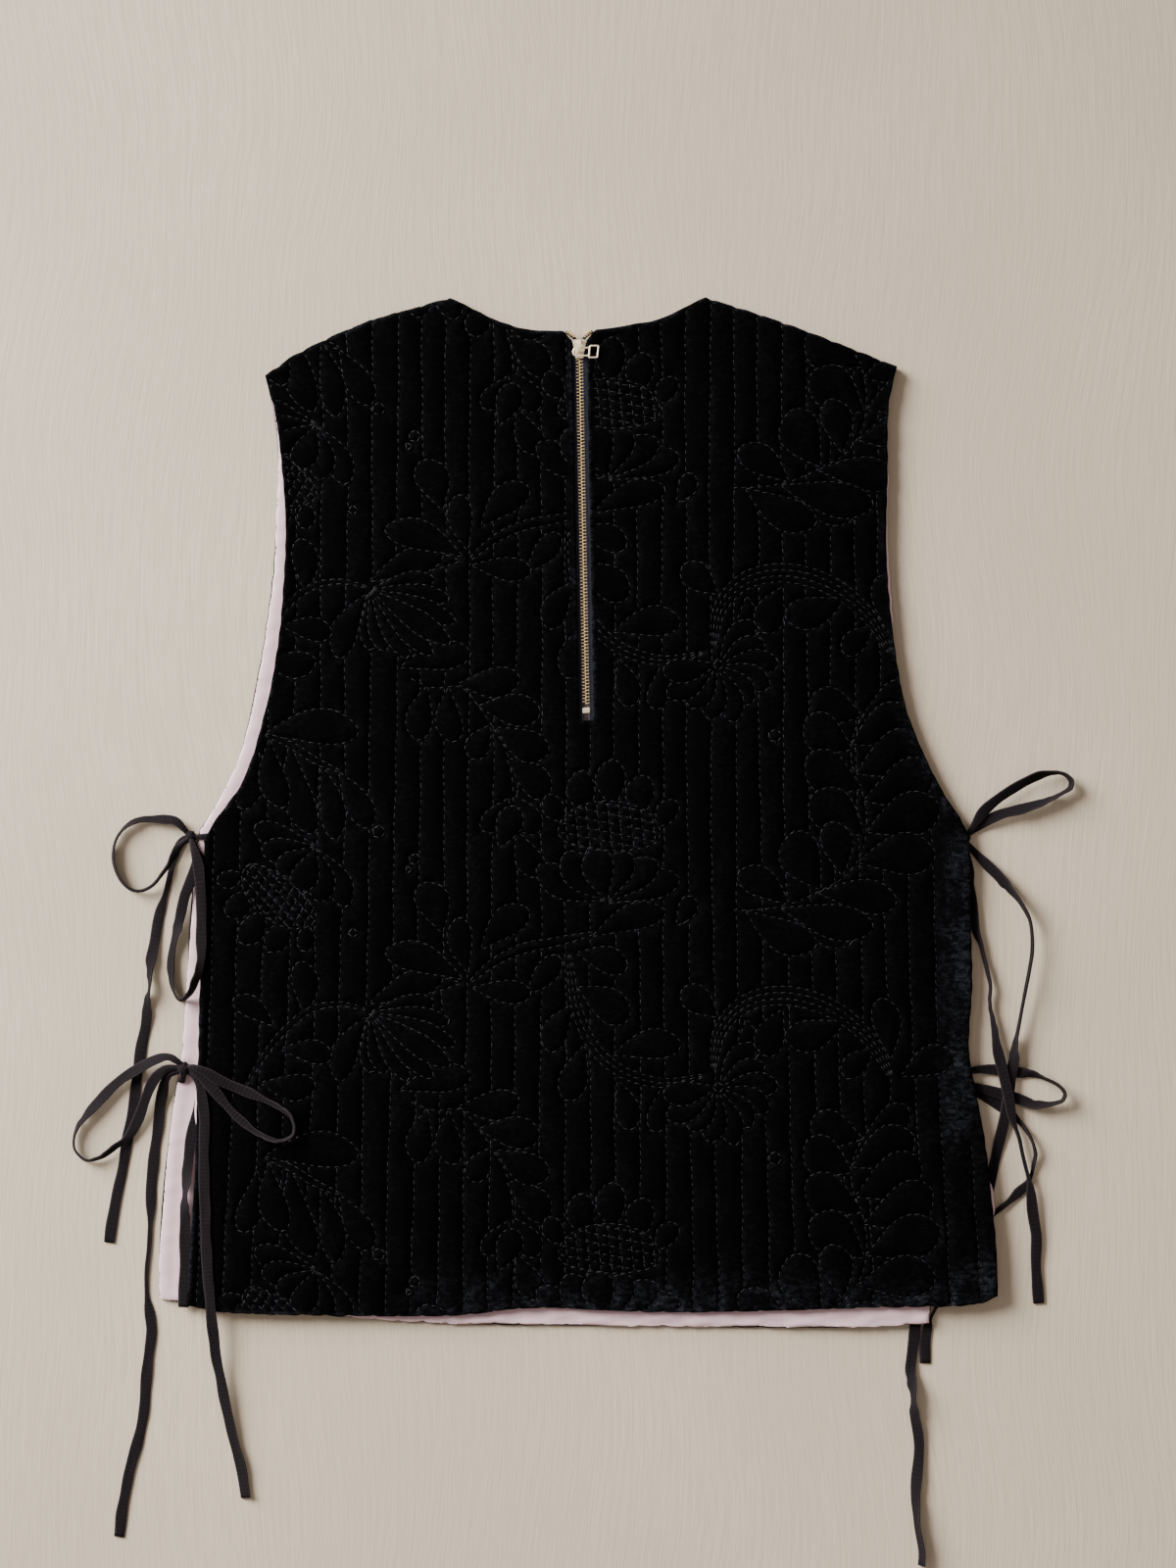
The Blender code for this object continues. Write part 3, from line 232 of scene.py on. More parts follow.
        (226.6, -247.9, 1.9, 0), (218.0, -257.5, 1.9, 0), (207.7, -271.4, 0.8, 0),
        (199.6, -288.0, 0.7, 0), (195.0, -321.8, 1.0, 5), (195.0, -331.5, 2.5, 30),
        (195.9, -342.4, 3.6, 70), (197.3, -355.0, 2.2, 25), (199.3, -371.1, 1.6, 12),
        (197.6, -393.4, 2.0, 25), (198.5, -418.1, 3.3, 65), (200.8, -431.2, 3.2, 60),
        (200.8, -439.8, 3.1, 55),
    )),
    "tie_lower_right_2": ("knot_lower_right", ("tail",), (
        (222.6, -156.2, 1.8, 0), (222.4, -159.0, 1.2, 0), (221.8, -162.6, 0.7, 0),
        (221.3, -166.4, 0.6, 0), (220.8, -170.4, 0.6, 0), (220.4, -175.0, 0.6, 0),
        (220.5, -180.2, 0.6, 0), (220.9, -185.4, 0.6, 0), (221.3, -190.8, 0.6, 0),
        (221.9, -197.0, 0.6, 0), (222.4, -203.2, 0.6, 0), (222.9, -209.4, 0.6, 0),
        (223.4, -215.8, 0.6, 0), (223.9, -222.2, 0.6, 0), (224.3, -228.4, 0.6, 0),
    )),
}

# The ties hold the cloth off the surface in two places: at the front panel's lower right corner,
# by all of the lift within CORNER_FLAT of it, and along the back panel's left side
CORNER = (205.8, -298.5)
CORNER_LIFT, CORNER_FLAT, CORNER_RUN = 1.7, 34.0, 90.0
LEFT_LIFT, LEFT_FLAT_X, LEFT_RUN, LEFT_TOP_Y, LEFT_TOP_RUN = 1.1, -190.0, 60.0, -16.4, 76.0

# Zip, in its own frame: x across, y up the chain from the slider's lower end
ZIP_AT = (1.1, 265.0)
ZIP_TURN = 1.083
ZIP_Z = 5.5
SLIT_HALF, SLIT_END = 4.2, -211.1
VEE_FROM, VEE_TO, VEE_HALF = 10.3, 15.8, 8.9  # the slit opens in a V up to the neck
CHAIN_BOTTOM = -203.4
TAPE_FROM, TAPE_TO, TAPE_BOTTOM, TAPE_TOP = 1.2, 14.4, -218.9, 10.3
PIVOT_Y, PULL_Z = 3.4, 9.2  # of the pull tab's swing on the slider's crown

# Knots: middle x, y, z, half sizes x, y, z, and the way the wrap runs over the top, from +X
KNOTS = {
    "knot_upper_left": (-225.8, -13.8, 3.1, 3.3, 4.0, 3.0, 62),
    "knot_lower_left": (-229.3, -149.3, 7.5, 4.0, 5.0, 3.6, 78),
    "knot_upper_right": (226.3, -15.2, 1.8, 3.4, 4.0, 1.7, 110),
    "knot_lower_right": (222.6, -156.2, 1.8, 4.0, 4.4, 1.7, 95),
}

# Where the back lining rolls out past the shell's edge: side, from y, to y, how far
PEEPS = (
    ("left", -187.0, -155.0, 0.6), ("right", -240.0, -212.0, 1.5), ("right", 105.0, 205.0, 0.9),
)

ROW_AT = -7.0  # of the upright row left of the zip, 100 mm below the panel's middle

# One repeat of the quilting, 246 mm long, in millimetres of the back panel
REPEAT = 246.4
FLOWERS = (  # foot x, y, way that it faces, size
    (17.0, -52.0, 88, 1.0), (-152.0, -20.0, 232, 0.86),
)
CARNATIONS = ((-121.0, -116.0, -34, 1.0),)
DAISIES = ((82.0, -160.0, 188, 412, 10),)  # x, y, first and last petal's angle, petals
STEMS = (  # lines side by side, how far apart, then the route
    (2, 5.6, ((-63.0, -99.0), (-50.0, -88.0), (-33.0, -79.5), (-14.0, -75.5), (10.0, -70.0))),
    (3, 3.4, ((-5.0, -82.0), (-1.0, -112.0), (9.0, -136.0), (26.0, -151.0), (50.0, -157.5), (74.0, -153.0))),
    (4, 3.6, (
        (183.0, -154.0), (170.0, -132.0), (148.0, -114.0), (121.0, -106.5), (98.0, -111.0),
        (83.0, -127.0), (79.0, -150.0),
    )),
    (2, 3.6, (
        (-122.0, -115.0), (-138.0, -111.5), (-155.0, -114.5), (-171.0, -127.0), (-183.0, -142.0),
        (-194.0, -160.0),
    )),
    (2, 4.0, ((-183.0, 46.0), (-168.0, 40.0), (-152.0, 30.0), (-138.0, 24.0))),
)
TRAILS = (  # a single line
    (
        (-98.0, -168.0), (-84.0, -173.5), (-68.0, -173.0), (-58.0, -184.0), (-49.0, -197.0),
        (-41.0, -212.0), (-37.5, -236.0), (-40.0, -252.0),
    ),
    (
        (90.0, -57.0), (110.0, -56.0), (126.0, -52.5), (141.0, -45.5), (156.0, -37.0),
        (166.0, -22.0), (168.5, -4.0), (166.0, 12.0), (160.0, 28.0), (160.5, 44.0), (169.0, 60.0),
        (186.0, 68.0),
    ),
)
LEAVES = (  # foot x, y, angle, length, width
    (-184.0, 47.0, 2, 57, 21), (-181.0, 43.0, 282, 42, 17), (-169.0, 41.0, 284, 56, 18),
    (-149.0, 29.0, 281, 46, 15), (-139.0, 24.0, 300, 38, 16), (-186.0, 38.0, 256, 38, 15),
    (-66.0, -96.0, 160, 49, 18), (-78.0, -70.0, 112, 32, 20), (-64.5, -94.0, 99, 34, 15),
    (-122.0, -111.0, 21, 47, 17), (-68.0, -99.0, 184, 34, 12), (-57.0, -79.0, 41, 37, 18),
    (-62.0, -102.0, -6, 36, 14), (-30.0, -107.0, 50, 31, 14), (8.0, -71.0, 19, 46, 16),
    (-1.0, -81.0, -17, 32, 16), (0.0, -101.0, -33, 36, 20), (-3.0, -111.0, 242, 32, 16),
    (20.0, -140.0, 9, 41, 18), (4.0, -135.0, 253, 35, 17), (24.0, -156.0, 285, 30, 15),
    (49.0, -161.0, 262, 26, 14), (-70.0, -172.0, 6, 37, 18), (-58.0, -184.0, -7, 37, 19),
    (-48.0, -197.0, -27, 35, 19), (-41.0, -214.0, -43, 34, 18), (-37.5, -236.0, -58, 27, 16),
    (-36.0, -257.0, -62, 31, 16), (-88.0, -172.0, 260, 33, 16), (-76.0, -173.0, 276, 33, 16),
    (-51.0, -195.0, 240, 23, 15), (-39.5, -238.0, 232, 25, 14), (118.0, -56.0, -12, 56, 21),
    (140.0, -46.0, -7, 47, 20), (163.0, -28.0, 6, 46, 25), (168.0, -11.0, 20, 46, 26),
    (167.0, 6.0, 27, 45, 27), (162.0, 22.0, 30, 44, 26), (159.5, 40.0, 27, 41, 25),
    (168.0, 58.0, 32, 30, 19), (124.0, -53.0, 147, 36, 18), (141.0, -45.5, 116, 38, 25),
    (155.0, -37.0, 103, 33, 19), (167.5, -13.0, 143, 39, 26), (166.0, 13.0, 150, 38, 25),
    (160.0, 36.0, 146, 33, 23), (166.0, 56.0, 160, 32, 22), (97.0, -58.0, -27, 47, 20),
    (126.0, -60.0, -24, 38, 16), (157.0, -122.0, 197, 38, 19), (119.0, -114.0, 250, 30, 18),
    (99.0, -120.0, 270, 26, 15), (173.0, -137.0, 222, 25, 14), (183.0, -144.0, 99, 37, 17),
    (82.0, -119.0, 141, 27, 17), (188.0, -153.0, 22, 34, 18), (-173.0, -137.0, -9, 31, 14),
    (-185.0, -158.0, -3, 33, 16), (-158.0, -119.0, 95, 33, 16), (-176.0, -124.0, 146, 30, 13),
    (-124.0, -118.0, 246, 42, 16), (-121.0, -118.0, 272, 34, 15), (-104.0, -161.0, 12, 43, 17),
    (-46.0, -21.0, 68, 27, 16), (58.0, -66.0, 62, 20, 12),
)
BERRIES = (
    (-116.0, -11.0, 4.0), (-95.0, -27.0, 3.6), (-98.5, -33.0, 2.6), (115.0, 45.0, 4.2),
    (62.0, -62.0, 3.6), (-131.0, -70.0, 3.0),
)


# ---------------------------------------------------------------------------- sizes and colours


class WaistcoatSizes(bpy.types.PropertyGroup):
    channel_pitch: FloatProperty(
        name="Channel pitch", description="Between two upright quilted rows", default=0.0144,
        unit="LENGTH", precision=4)
    quilt_depth: FloatProperty(
        name="Quilt depth", description="How far a row sinks into the wadding", default=0.0010,
        unit="LENGTH", precision=4)
    stitch_pitch: FloatProperty(
        name="Stitch pitch", description="From one stitch to the next", default=0.0048,
        unit="LENGTH", precision=4)
    stitch_length: FloatProperty(
        name="Stitch length", description="Of the thread that shows", default=0.0036,
        unit="LENGTH", precision=4)
    thread_width: FloatProperty(
        name="Thread width", description="Of the quilting thread", default=0.00045,
        unit="LENGTH", precision=5)
    pucker: FloatProperty(
        name="Lining pucker", description="Height of the lining's soft waves", default=0.0010,
        unit="LENGTH", precision=4)


class TieSizes(bpy.types.PropertyGroup):
    width: FloatProperty(
        name="Width", description="Of the cotton tape", default=0.0063, unit="LENGTH", precision=4)
    thickness: FloatProperty(
        name="Thickness", description="Of the cotton tape", default=0.0009, unit="LENGTH",
        precision=4)


class ZipSizes(bpy.types.PropertyGroup):
    tooth_pitch: FloatProperty(
        name="Tooth pitch", description="Between two teeth of one side", default=0.0019,
        unit="LENGTH", precision=4)
    chain_width: FloatProperty(
        name="Chain width", description="Across the closed teeth", default=0.0045, unit="LENGTH",
        precision=4)
    pull_wire: FloatProperty(
        name="Pull wire", description="Width of the pull tab's wire", default=0.0010,
        unit="LENGTH", precision=4)


class WaistcoatColours(bpy.types.PropertyGroup):
    velvet: StringProperty(name="Velvet", description="Velvet's pile", default="#030303")
    # The velvet's painted sheen: the blue-grey mixed into its colour where the nap would catch the light
    velvet_sheen_paint: StringProperty(
        name="Turned nap", description="Pile that leans towards the light", default="#282a31")
    thread: StringProperty(name="Thread", description="Quilting thread", default="#30303a")
    satin: StringProperty(name="Satin", description="Lining", default="#debec9")
    tape: StringProperty(name="Tie tape", description="Cotton tape of the ties", default="#181317")
    zip_cloth: StringProperty(name="Zip cloth", description="Zip's tapes", default="#30313d")
    gold: StringProperty(name="Pale gold", description="Slider and pull", default="#fff3da")
    tooth_gold: StringProperty(name="Tooth gold", description="Zip's teeth", default="#f6dfb2")


class StageSizes(bpy.types.PropertyGroup):
    floor_colour: StringProperty(name="Floor", description="Painted surface", default="#cabca9")
    lens: FloatProperty(
        name="Lens", description="Focal length in millimetres", default=80.0, unit="CAMERA")
    camera_height: FloatProperty(
        name="Camera height", description="Above the surface", default=2.038, unit="LENGTH")
    lamp_power: FloatProperty(
        name="Lamp power", description="Of the large soft lamp at the upper left", default=57.5,
        unit="POWER")
    lamp_size: FloatProperty(
        name="Lamp size", description="Across the lamp's disc", default=2.0, unit="LENGTH")


SETTINGS = {
    "waistcoat_sizes": WaistcoatSizes,
    "waistcoat_ties": TieSizes,
    "waistcoat_zip": ZipSizes,
    "waistcoat_colours": WaistcoatColours,
    "waistcoat_stage": StageSizes,
}


# ---------------------------------------------------------------------------- materials

NOISE, RAMP, MIX = "ShaderNodeTexNoise", "ShaderNodeMapRange", "ShaderNodeMix"
MATH, VECTOR, BUMP = "ShaderNodeMath", "ShaderNodeVectorMath", "ShaderNodeBump"
SHADER, OUTPUT = "ShaderNodeBsdfPrincipled", "ShaderNodeOutputMaterial"
SMOOTH = {"clamp": True, "interpolation_type": "SMOOTHSTEP"}  # how a ramp goes between its ends


def linear(hex_colour):
    """The linear colour of an sRGB hex value."""
    parts = [int(hex_colour[i:i + 2], 16) / 255 for i in (1, 3, 5)]
    return (*[c / 12.92 if c <= 0.04045 else ((c + 0.055) / 1.055) ** 2.4 for c in parts], 1.0)


def shaded(colour, *shares):
    """A linear colour made darker or paler, by one share or by one for each of its parts."""
    return (*[c * share for c, share in zip(colour, shares if len(shares) > 1 else shares * 3)], 1.0)


def per_mm(millimetres):
    """The scale that makes a pattern's cell this big."""
    return 1000.0 / millimetres


def node(tree, kind, inputs=(), out=0, **settings):
    """Adds a node with its settings and gives its output; each input is a value or a socket to link."""
    made = tree.nodes.new(kind)
    for name, value in settings.items():
        setattr(made, name, value)
    for name, value in dict(inputs).items():
        if isinstance(value, bpy.types.NodeSocket):
            tree.links.new(value, made.inputs[name])
        else:
            made.inputs[name].default_value = value
    return made.outputs[out] if made.outputs else None


def new_material(name):
    """A material with an empty tree, and the tree."""
    made = bpy.data.materials.new(name)
    made.use_nodes = True
    made.node_tree.nodes.clear()
    return made, made.node_tree


def tinted(tree, colour, over, pattern, low, high, least=0.0, most=1.0):
    """One colour laid over another, from least to most as the pattern goes from low to high."""
    share = node(tree, RAMP, {
        "Value": pattern, "From Min": low, "From Max": high, "To Min": least, "To Max": most,
    }, **SMOOTH)
    return node(tree, MIX, {0: share, 6: colour, 7: over}, out=2, data_type="RGBA")


def cotton_velvet():
    """Cotton velvet: a dense cut pile, near black head-on. A faint blue-grey painted sheen, where the
    nap would catch the light, is mixed into its colour at the quilted rows and along the edges."""
    colours = bpy.context.scene.waistcoat_colours
    made, tree = new_material("cotton_velvet")
    place = node(tree, "ShaderNodeTexCoord", out="Object")
    # Pile tufts are 0.2 mm apart, drawn at 0.7 mm so that they show
    tufts = node(tree, NOISE, {"Vector": place, "Scale": per_mm(0.7), "Detail": 3.0, "Roughness": 0.7})
    # Painted sheen in strokes of about 13 mm, as where handling crushes the pile, broken up every 2 mm or so
    upright = node(tree, VECTOR, {0: place, 1: (1.0, 0.6, 1.0)}, operation="MULTIPLY")
    sheen_strokes = node(
        tree, NOISE, {"Vector": upright, "Scale": per_mm(13.0), "Detail": 3.0, "Roughness": 0.6})
    level = node(tree, VECTOR, {0: place, 1: (0.6, 1.0, 1.0)}, operation="MULTIPLY")
    patches = node(
        tree, NOISE, {"Vector": level, "Scale": per_mm(2.2), "Detail": 3.0, "Roughness": 0.75})
    # Painted sheen: the attribute and the three patterns set how much blue-grey is mixed into the black
    sheen_share = node(tree, "ShaderNodeAttribute", out="Fac", attribute_name="painted_sheen")
    for pattern, low, high, least, most in (
        (sheen_strokes, 0.36, 0.66, 0.3, 1.3), (patches, 0.42, 0.64, 0.2, 1.7), (tufts, 0.3, 0.7, 0.55, 1.3),
    ):
        share = node(tree, RAMP, {
            "Value": pattern, "From Min": low, "From Max": high, "To Min": least, "To Max": most,
        }, **SMOOTH)
        sheen_share = node(tree, MATH, {0: sheen_share, 1: share}, operation="MULTIPLY")
    colour = node(
        tree, MIX, {0: sheen_share, 6: linear(colours.velvet), 7: linear(colours.velvet_sheen_paint)},
        out=2, data_type="RGBA")
    shader = node(tree, SHADER, {
        "Base Color": colour, "Roughness": 0.95, "Specular IOR Level": 0.01,
        "Sheen Weight": 0.02, "Sheen Roughness": 0.42, "Sheen Tint": linear("#7f86a0"),
        "Normal": node(tree, BUMP, {"Strength": 0.5, "Distance": 0.00025, "Height": tufts}),
    })
    node(tree, OUTPUT, {"Surface": shader})
    return made


def quilting_thread():
    """Spun polyester thread: two plies, a dull shine, here and there sunk into the pile."""
    made, tree = new_material("spun_polyester_thread")
    place = node(tree, "ShaderNodeTexCoord", out="Object")
    # The plies turn every 0.6 mm
    ply = node(tree, NOISE, {"Vector": place, "Scale": per_mm(0.6), "Detail": 1.0, "Roughness": 0.5})
    wear = node(tree, NOISE, {"Vector": place, "Scale": per_mm(24.0), "Detail": 2.0, "Roughness": 0.6})
    sunk = node(tree, NOISE, {"Vector": place, "Scale": per_mm(3.4), "Detail": 1.0, "Roughness": 0.5})
    base = linear(bpy.context.scene.waistcoat_colours.thread)
    dark = shaded(base, 0.35)
    colour = tinted(tree, dark, base, ply, 0.35, 0.6)
    colour = tinted(tree, colour, dark, wear, 0.38, 0.6, most=0.5)
    colour = tinted(tree, colour, linear("#0a0a0c"), sunk, 0.4, 0.62, most=0.9)
    shader = node(tree, SHADER, {"Base Color": colour, "Roughness": 0.6, "Specular IOR Level": 0.3})
    node(tree, OUTPUT, {"Surface": shader})
    return made


def lining_satin():
    """Polyester satin: long floats give a soft shine across the weave and a fine upright grain."""
    made, tree = new_material("polyester_satin")
    place = node(tree, "ShaderNodeTexCoord", out="Object")
    # Warp floats 0.12 mm wide, drawn at 0.5 mm so that they show
    upright = node(tree, VECTOR, {0: place, 1: (1.0, 0.06, 1.0)}, operation="MULTIPLY")
    grain = node(tree, NOISE, {"Vector": upright, "Scale": per_mm(0.5), "Detail": 2.0, "Roughness": 0.6})
    cloud = node(tree, NOISE, {"Vector": place, "Scale": per_mm(30.0), "Detail": 2.0, "Roughness": 0.5})
    base = linear(bpy.context.scene.waistcoat_colours.satin)
    colour = tinted(tree, base, shaded(base, 0.86), grain, 0.3, 0.7, most=0.5)
    colour = tinted(tree, colour, linear("#e2c6d0"), cloud, 0.35, 0.7, most=0.5)
    shader = node(tree, SHADER, {
        "Base Color": colour, "Roughness": 0.42, "Specular IOR Level": 0.5,
        "Sheen Weight": 0.1, "Sheen Roughness": 0.3,
        "Normal": node(tree, BUMP, {"Strength": 0.2, "Distance": 0.0001, "Height": grain}),
    })
    node(tree, OUTPUT, {"Surface": shader})
    return made


def woven_tape(name, colour, edge_colour, rib_mm, edge_mm):
    """Narrow woven cotton or polyester: fine ribs across, and a paler stitched line at each edge.

    The tape's own place, in metres, is x from its nearer edge and y along it.
    """
    made, tree = new_material(name)
    at = node(tree, "ShaderNodeAttribute", out="Vector", attribute_name="weave")
    from_edge = node(tree, "ShaderNodeSeparateXYZ", {0: at}, out="X")
    ribs = node(
        tree, "ShaderNodeTexWave",
        {"Vector": at, "Scale": per_mm(rib_mm) / math.tau, "Distortion": 0.6, "Detail": 1.0},
        out="Fac", wave_type="BANDS", bands_direction="Y")
    lengthwise = node(tree, VECTOR, {0: at, 1: (1.0, 0.25, 1.0)}, operation="MULTIPLY")
    threads = node(
        tree, NOISE, {"Vector": lengthwise, "Scale": per_mm(0.5), "Detail": 2.0, "Roughness": 0.6})
    base = linear(colour)
    dark = shaded(base, 0.45)
    tone = tinted(tree, base, dark, threads, 0.3, 0.7, most=0.8)
    tone = tinted(tree, tone, dark, ribs, 0.2, 0.8, most=0.45)
    tone = tinted(
        tree, tone, linear(edge_colour), from_edge, edge_mm * 0.6 * MM, edge_mm * 1.5 * MM, 0.22, 0.0)
    height = node(tree, MATH, {0: threads, 1: 0.6, 2: ribs}, operation="MULTIPLY_ADD")
    shader = node(tree, SHADER, {
        "Base Color": tone, "Roughness": 0.85, "Specular IOR Level": 0.12,
        "Sheen Weight": 0.03, "Sheen Roughness": 0.5, "Sheen Tint": linear("#b0a8b4"),
        "Normal": node(tree, BUMP, {"Strength": 0.5, "Distance": 0.00012, "Height": height}),
    })
    node(tree, OUTPUT, {"Surface": shader})
    return made


def cotton_tape():
    """Flat cotton tape, dyed near black and washed, with a browner, paler edge."""
    return woven_tape("cotton_tape", bpy.context.scene.waistcoat_colours.tape, "#463c42", 0.9, 0.6)


def zip_cloth():
    """Woven polyester zip tape, blue-grey black."""
    return woven_tape("zip_tape", bpy.context.scene.waistcoat_colours.zip_cloth, "#3a3c48", 0.8, 0.9)


def plated_brass(name, colour, smooth, worn, metallic):
    """Brass with a pale gold plating, tumbled: bright, with fine wear that softens it."""
    made, tree = new_material(name)
    place = node(tree, "ShaderNodeTexCoord", out="Object")
    wear = node(tree, NOISE, {"Vector": place, "Scale": per_mm(1.2), "Detail": 3.0, "Roughness": 0.6})
    base = linear(colour)
    plated = tinted(tree, base, shaded(base, 0.84, 0.79, 0.68), wear, 0.4, 0.7, most=0.7)
    rough = node(tree, RAMP, {
        "Value": wear, "From Min": 0.3, "From Max": 0.7, "To Min": smooth, "To Max": worn,
    }, **SMOOTH)
    shader = node(tree, SHADER, {
        "Base Color": plated, "Metallic": metallic, "Roughness": rough,
        "Normal": node(tree, BUMP, {"Strength": 0.15, "Distance": 0.00005, "Height": wear}),
    })
    node(tree, OUTPUT, {"Surface": shader})
    return made


def pale_gold():
    """Slider and pull, plated thick and lacquered: nearly white."""
    return plated_brass("pale_gold_brass", bpy.context.scene.waistcoat_colours.gold, 0.34, 0.5, 0.7)


def tooth_gold():
    """Teeth, plated but not polished: yellower, and darker in their gaps."""
    return plated_brass("tooth_brass", bpy.context.scene.waistcoat_colours.tooth_gold, 0.3, 0.48, 0.8)


def painted_floor():
    """Eggshell paint over plaster, put on with a wide brush: pale greige, faint long strokes."""
    made, tree = new_material("eggshell_paint")
    place = node(tree, "ShaderNodeTexCoord", out="Object")
    # The brush's hairs are 2.4 mm apart in bunches, and its strokes bend a little every 260 mm
    bent = node(tree, NOISE, {"Vector": place, "Scale": per_mm(260.0), "Detail": 1.0, "Roughness": 0.5})
    swayed = node(tree, VECTOR, {0: bent, 1: (0.07, 0.0, 0.0), 2: place}, operation="MULTIPLY_ADD")
    upright = node(tree, VECTOR, {0: swayed, 1: (1.0, 0.05, 1.0)}, operation="MULTIPLY")
    strokes = node(
        tree, NOISE, {"Vector": upright, "Scale": per_mm(2.4), "Detail": 4.0, "Roughness": 0.75})
    cloud = node(tree, NOISE, {"Vector": place, "Scale": per_mm(180.0), "Detail": 3.0, "Roughness": 0.5})
    base = linear(bpy.context.scene.waistcoat_stage.floor_colour)
    dark = shaded(base, 0.93)
    colour = tinted(tree, dark, shaded(base, 1.05), cloud, 0.35, 0.65, 0.25, 1.0)
    colour = tinted(tree, colour, dark, strokes, 0.38, 0.62, most=0.9)
    shader = node(tree, SHADER, {
        "Base Color": colour, "Roughness": 0.75, "Specular IOR Level": 0.25,
        "Normal": node(tree, BUMP, {"Strength": 0.65, "Distance": 0.0004, "Height": strokes}),
    })
    node(tree, OUTPUT, {"Surface": shader})
    return made


MATERIALS = {
    "velvet": cotton_velvet, "thread": quilting_thread, "satin": lining_satin,
    "tape": cotton_tape, "zip_cloth": zip_cloth, "gold": pale_gold, "tooth_gold": tooth_gold,
    "floor": painted_floor,
}


def material(name):
    """The named material, made the first time that it is asked for."""
    made = bpy.data.materials.get(bpy.context.scene.get("waistcoat_material_" + name, ""))
    if made is None:
        made = MATERIALS[name]()
        bpy.context.scene["waistcoat_material_" + name] = made.name
    return made


# ---------------------------------------------------------------------------- lines and outlines

ROW_AT_EDGE, EDGE_PITCH = -119.0, 14.1  # where the quilted rows meet the hem and the shoulders
DIMPLE, DIMPLE_HALF = 0.55, 1.3  # the depth and half width of what each draws in
HEM_BELOW = -270.0


def ease(t):
    """0 up to 0, 1 from 1 on, and smooth between them."""
    t = np.clip(t, 0.0, 1.0)
    return t * t * (3 - 2 * t)


def spline(points):
    """A function of 0 to 1 along a smooth curve through the points, by the length of its chords."""
    points = [Vector(p) for p in points]
    at = [0.0]
    for a, b in zip(points, points[1:]):
        at.append(at[-1] + (b - a).length)
    slopes = []
    for i in range(len(points)):
        before, after = max(i - 1, 0), min(i + 1, len(points) - 1)
        slopes.append((points[after] - points[before]) / (at[after] - at[before]))

    def point(t):
        s = t * at[-1]
        i = max(k for k in range(len(at) - 1) if at[k] <= s or k == 0)
        span = at[i + 1] - at[i]
        f = (s - at[i]) / span
        g = 1 - f
        return (
            points[i] * (1 + 2 * f) * g * g + slopes[i] * span * f * g * g
            + points[i + 1] * (3 - 2 * f) * f * f - slopes[i + 1] * span * g * f * f
        )

    return point, at[-1]


def smooth_line(points, step):
    """Points at about even steps along a smooth curve through the given ones."""
    curve, long = spline(points)
    count = max(2, round(long / step))
    return [curve(k / count) for k in range(count + 1)]


def evenly(line, step):
    """Points at even steps along a straight-sided line, as an array."""
    line = np.array([tuple(p)[:2] for p in line])
    lengths = np.hypot(*np.diff(line, axis=0).T)
    at = np.concatenate([[0.0], np.cumsum(lengths)])
    count = max(1, round(at[-1] / step))
    s = np.linspace(0.0, at[-1], count + 1)
    return np.stack([np.interp(s, at, line[:, 0]), np.interp(s, at, line[:, 1])], axis=1)


def zip_point(x, y):
    """A point of the zip's frame in the garment's, in millimetres."""
    turn = math.radians(ZIP_TURN)
    return (
        ZIP_AT[0] + x * math.cos(turn) - y * math.sin(turn),
        ZIP_AT[1] + x * math.sin(turn) + y * math.cos(turn),
    )


def inside(points, ring):
    """Which points lie inside a closed ring, by counting crossings."""
    order = np.argsort(points[:, 1])
    x, y = points[order].T
    found = np.zeros(len(points), bool)
    for (ax, ay), (bx, by) in zip(ring, np.roll(ring, -1, axis=0)):
        if ay != by:
            i, j = np.searchsorted(y, (min(ay, by), max(ay, by)))
            found[i:j] ^= x[i:j] < ax + (y[i:j] - ay) * (bx - ax) / (by - ay)
    result = np.zeros(len(points), bool)
    result[order] = found
    return result


def tree_of(points):
    """A tree to look the points' places up in."""
    tree = KDTree(len(points))
    for i, p in enumerate(points):
        tree.insert((p[0], p[1], 0.0), i)
    tree.balance()
    return tree


def nearest(tree, points):
    """Distance to, and index of, the nearest point of the tree."""
    found = [tree.find((x, y, 0.0)) for x, y in points]
    return np.array([f[2] for f in found]), np.array([f[1] for f in found])


def unbroken(found):
    """Start and end of each run of what is true."""
    return np.flatnonzero(np.diff(np.concatenate([[False], found, [False]]))).reshape(-1, 2)


def sideways(along):
    """Unit vectors a quarter turn to the left of these."""
    along = along / np.maximum(np.hypot(along[:, 0], along[:, 1]), 1e-9)[:, None]
    return np.stack([-along[:, 1], along[:, 0]], axis=1)


def beside(line, distance):
    """The points of a line moved to its left."""
    return line + sideways(np.gradient(line, axis=0)) * distance


def closed(ring):
    return np.vstack([ring, ring[:1]])


def circle(radius, sides):
    return [(radius * math.cos(a), radius * math.sin(a)) for a in np.linspace(0, math.tau, sides + 1)[:-1]]


def tube_faces(rows, around):
    """Quads between rings of points that follow one another."""
    return [
        (j * around + i, j * around + k, (j + 1) * around + k, (j + 1) * around + i)
        for j in range(rows) for i, k in enumerate([*range(1, around), 0])
    ]


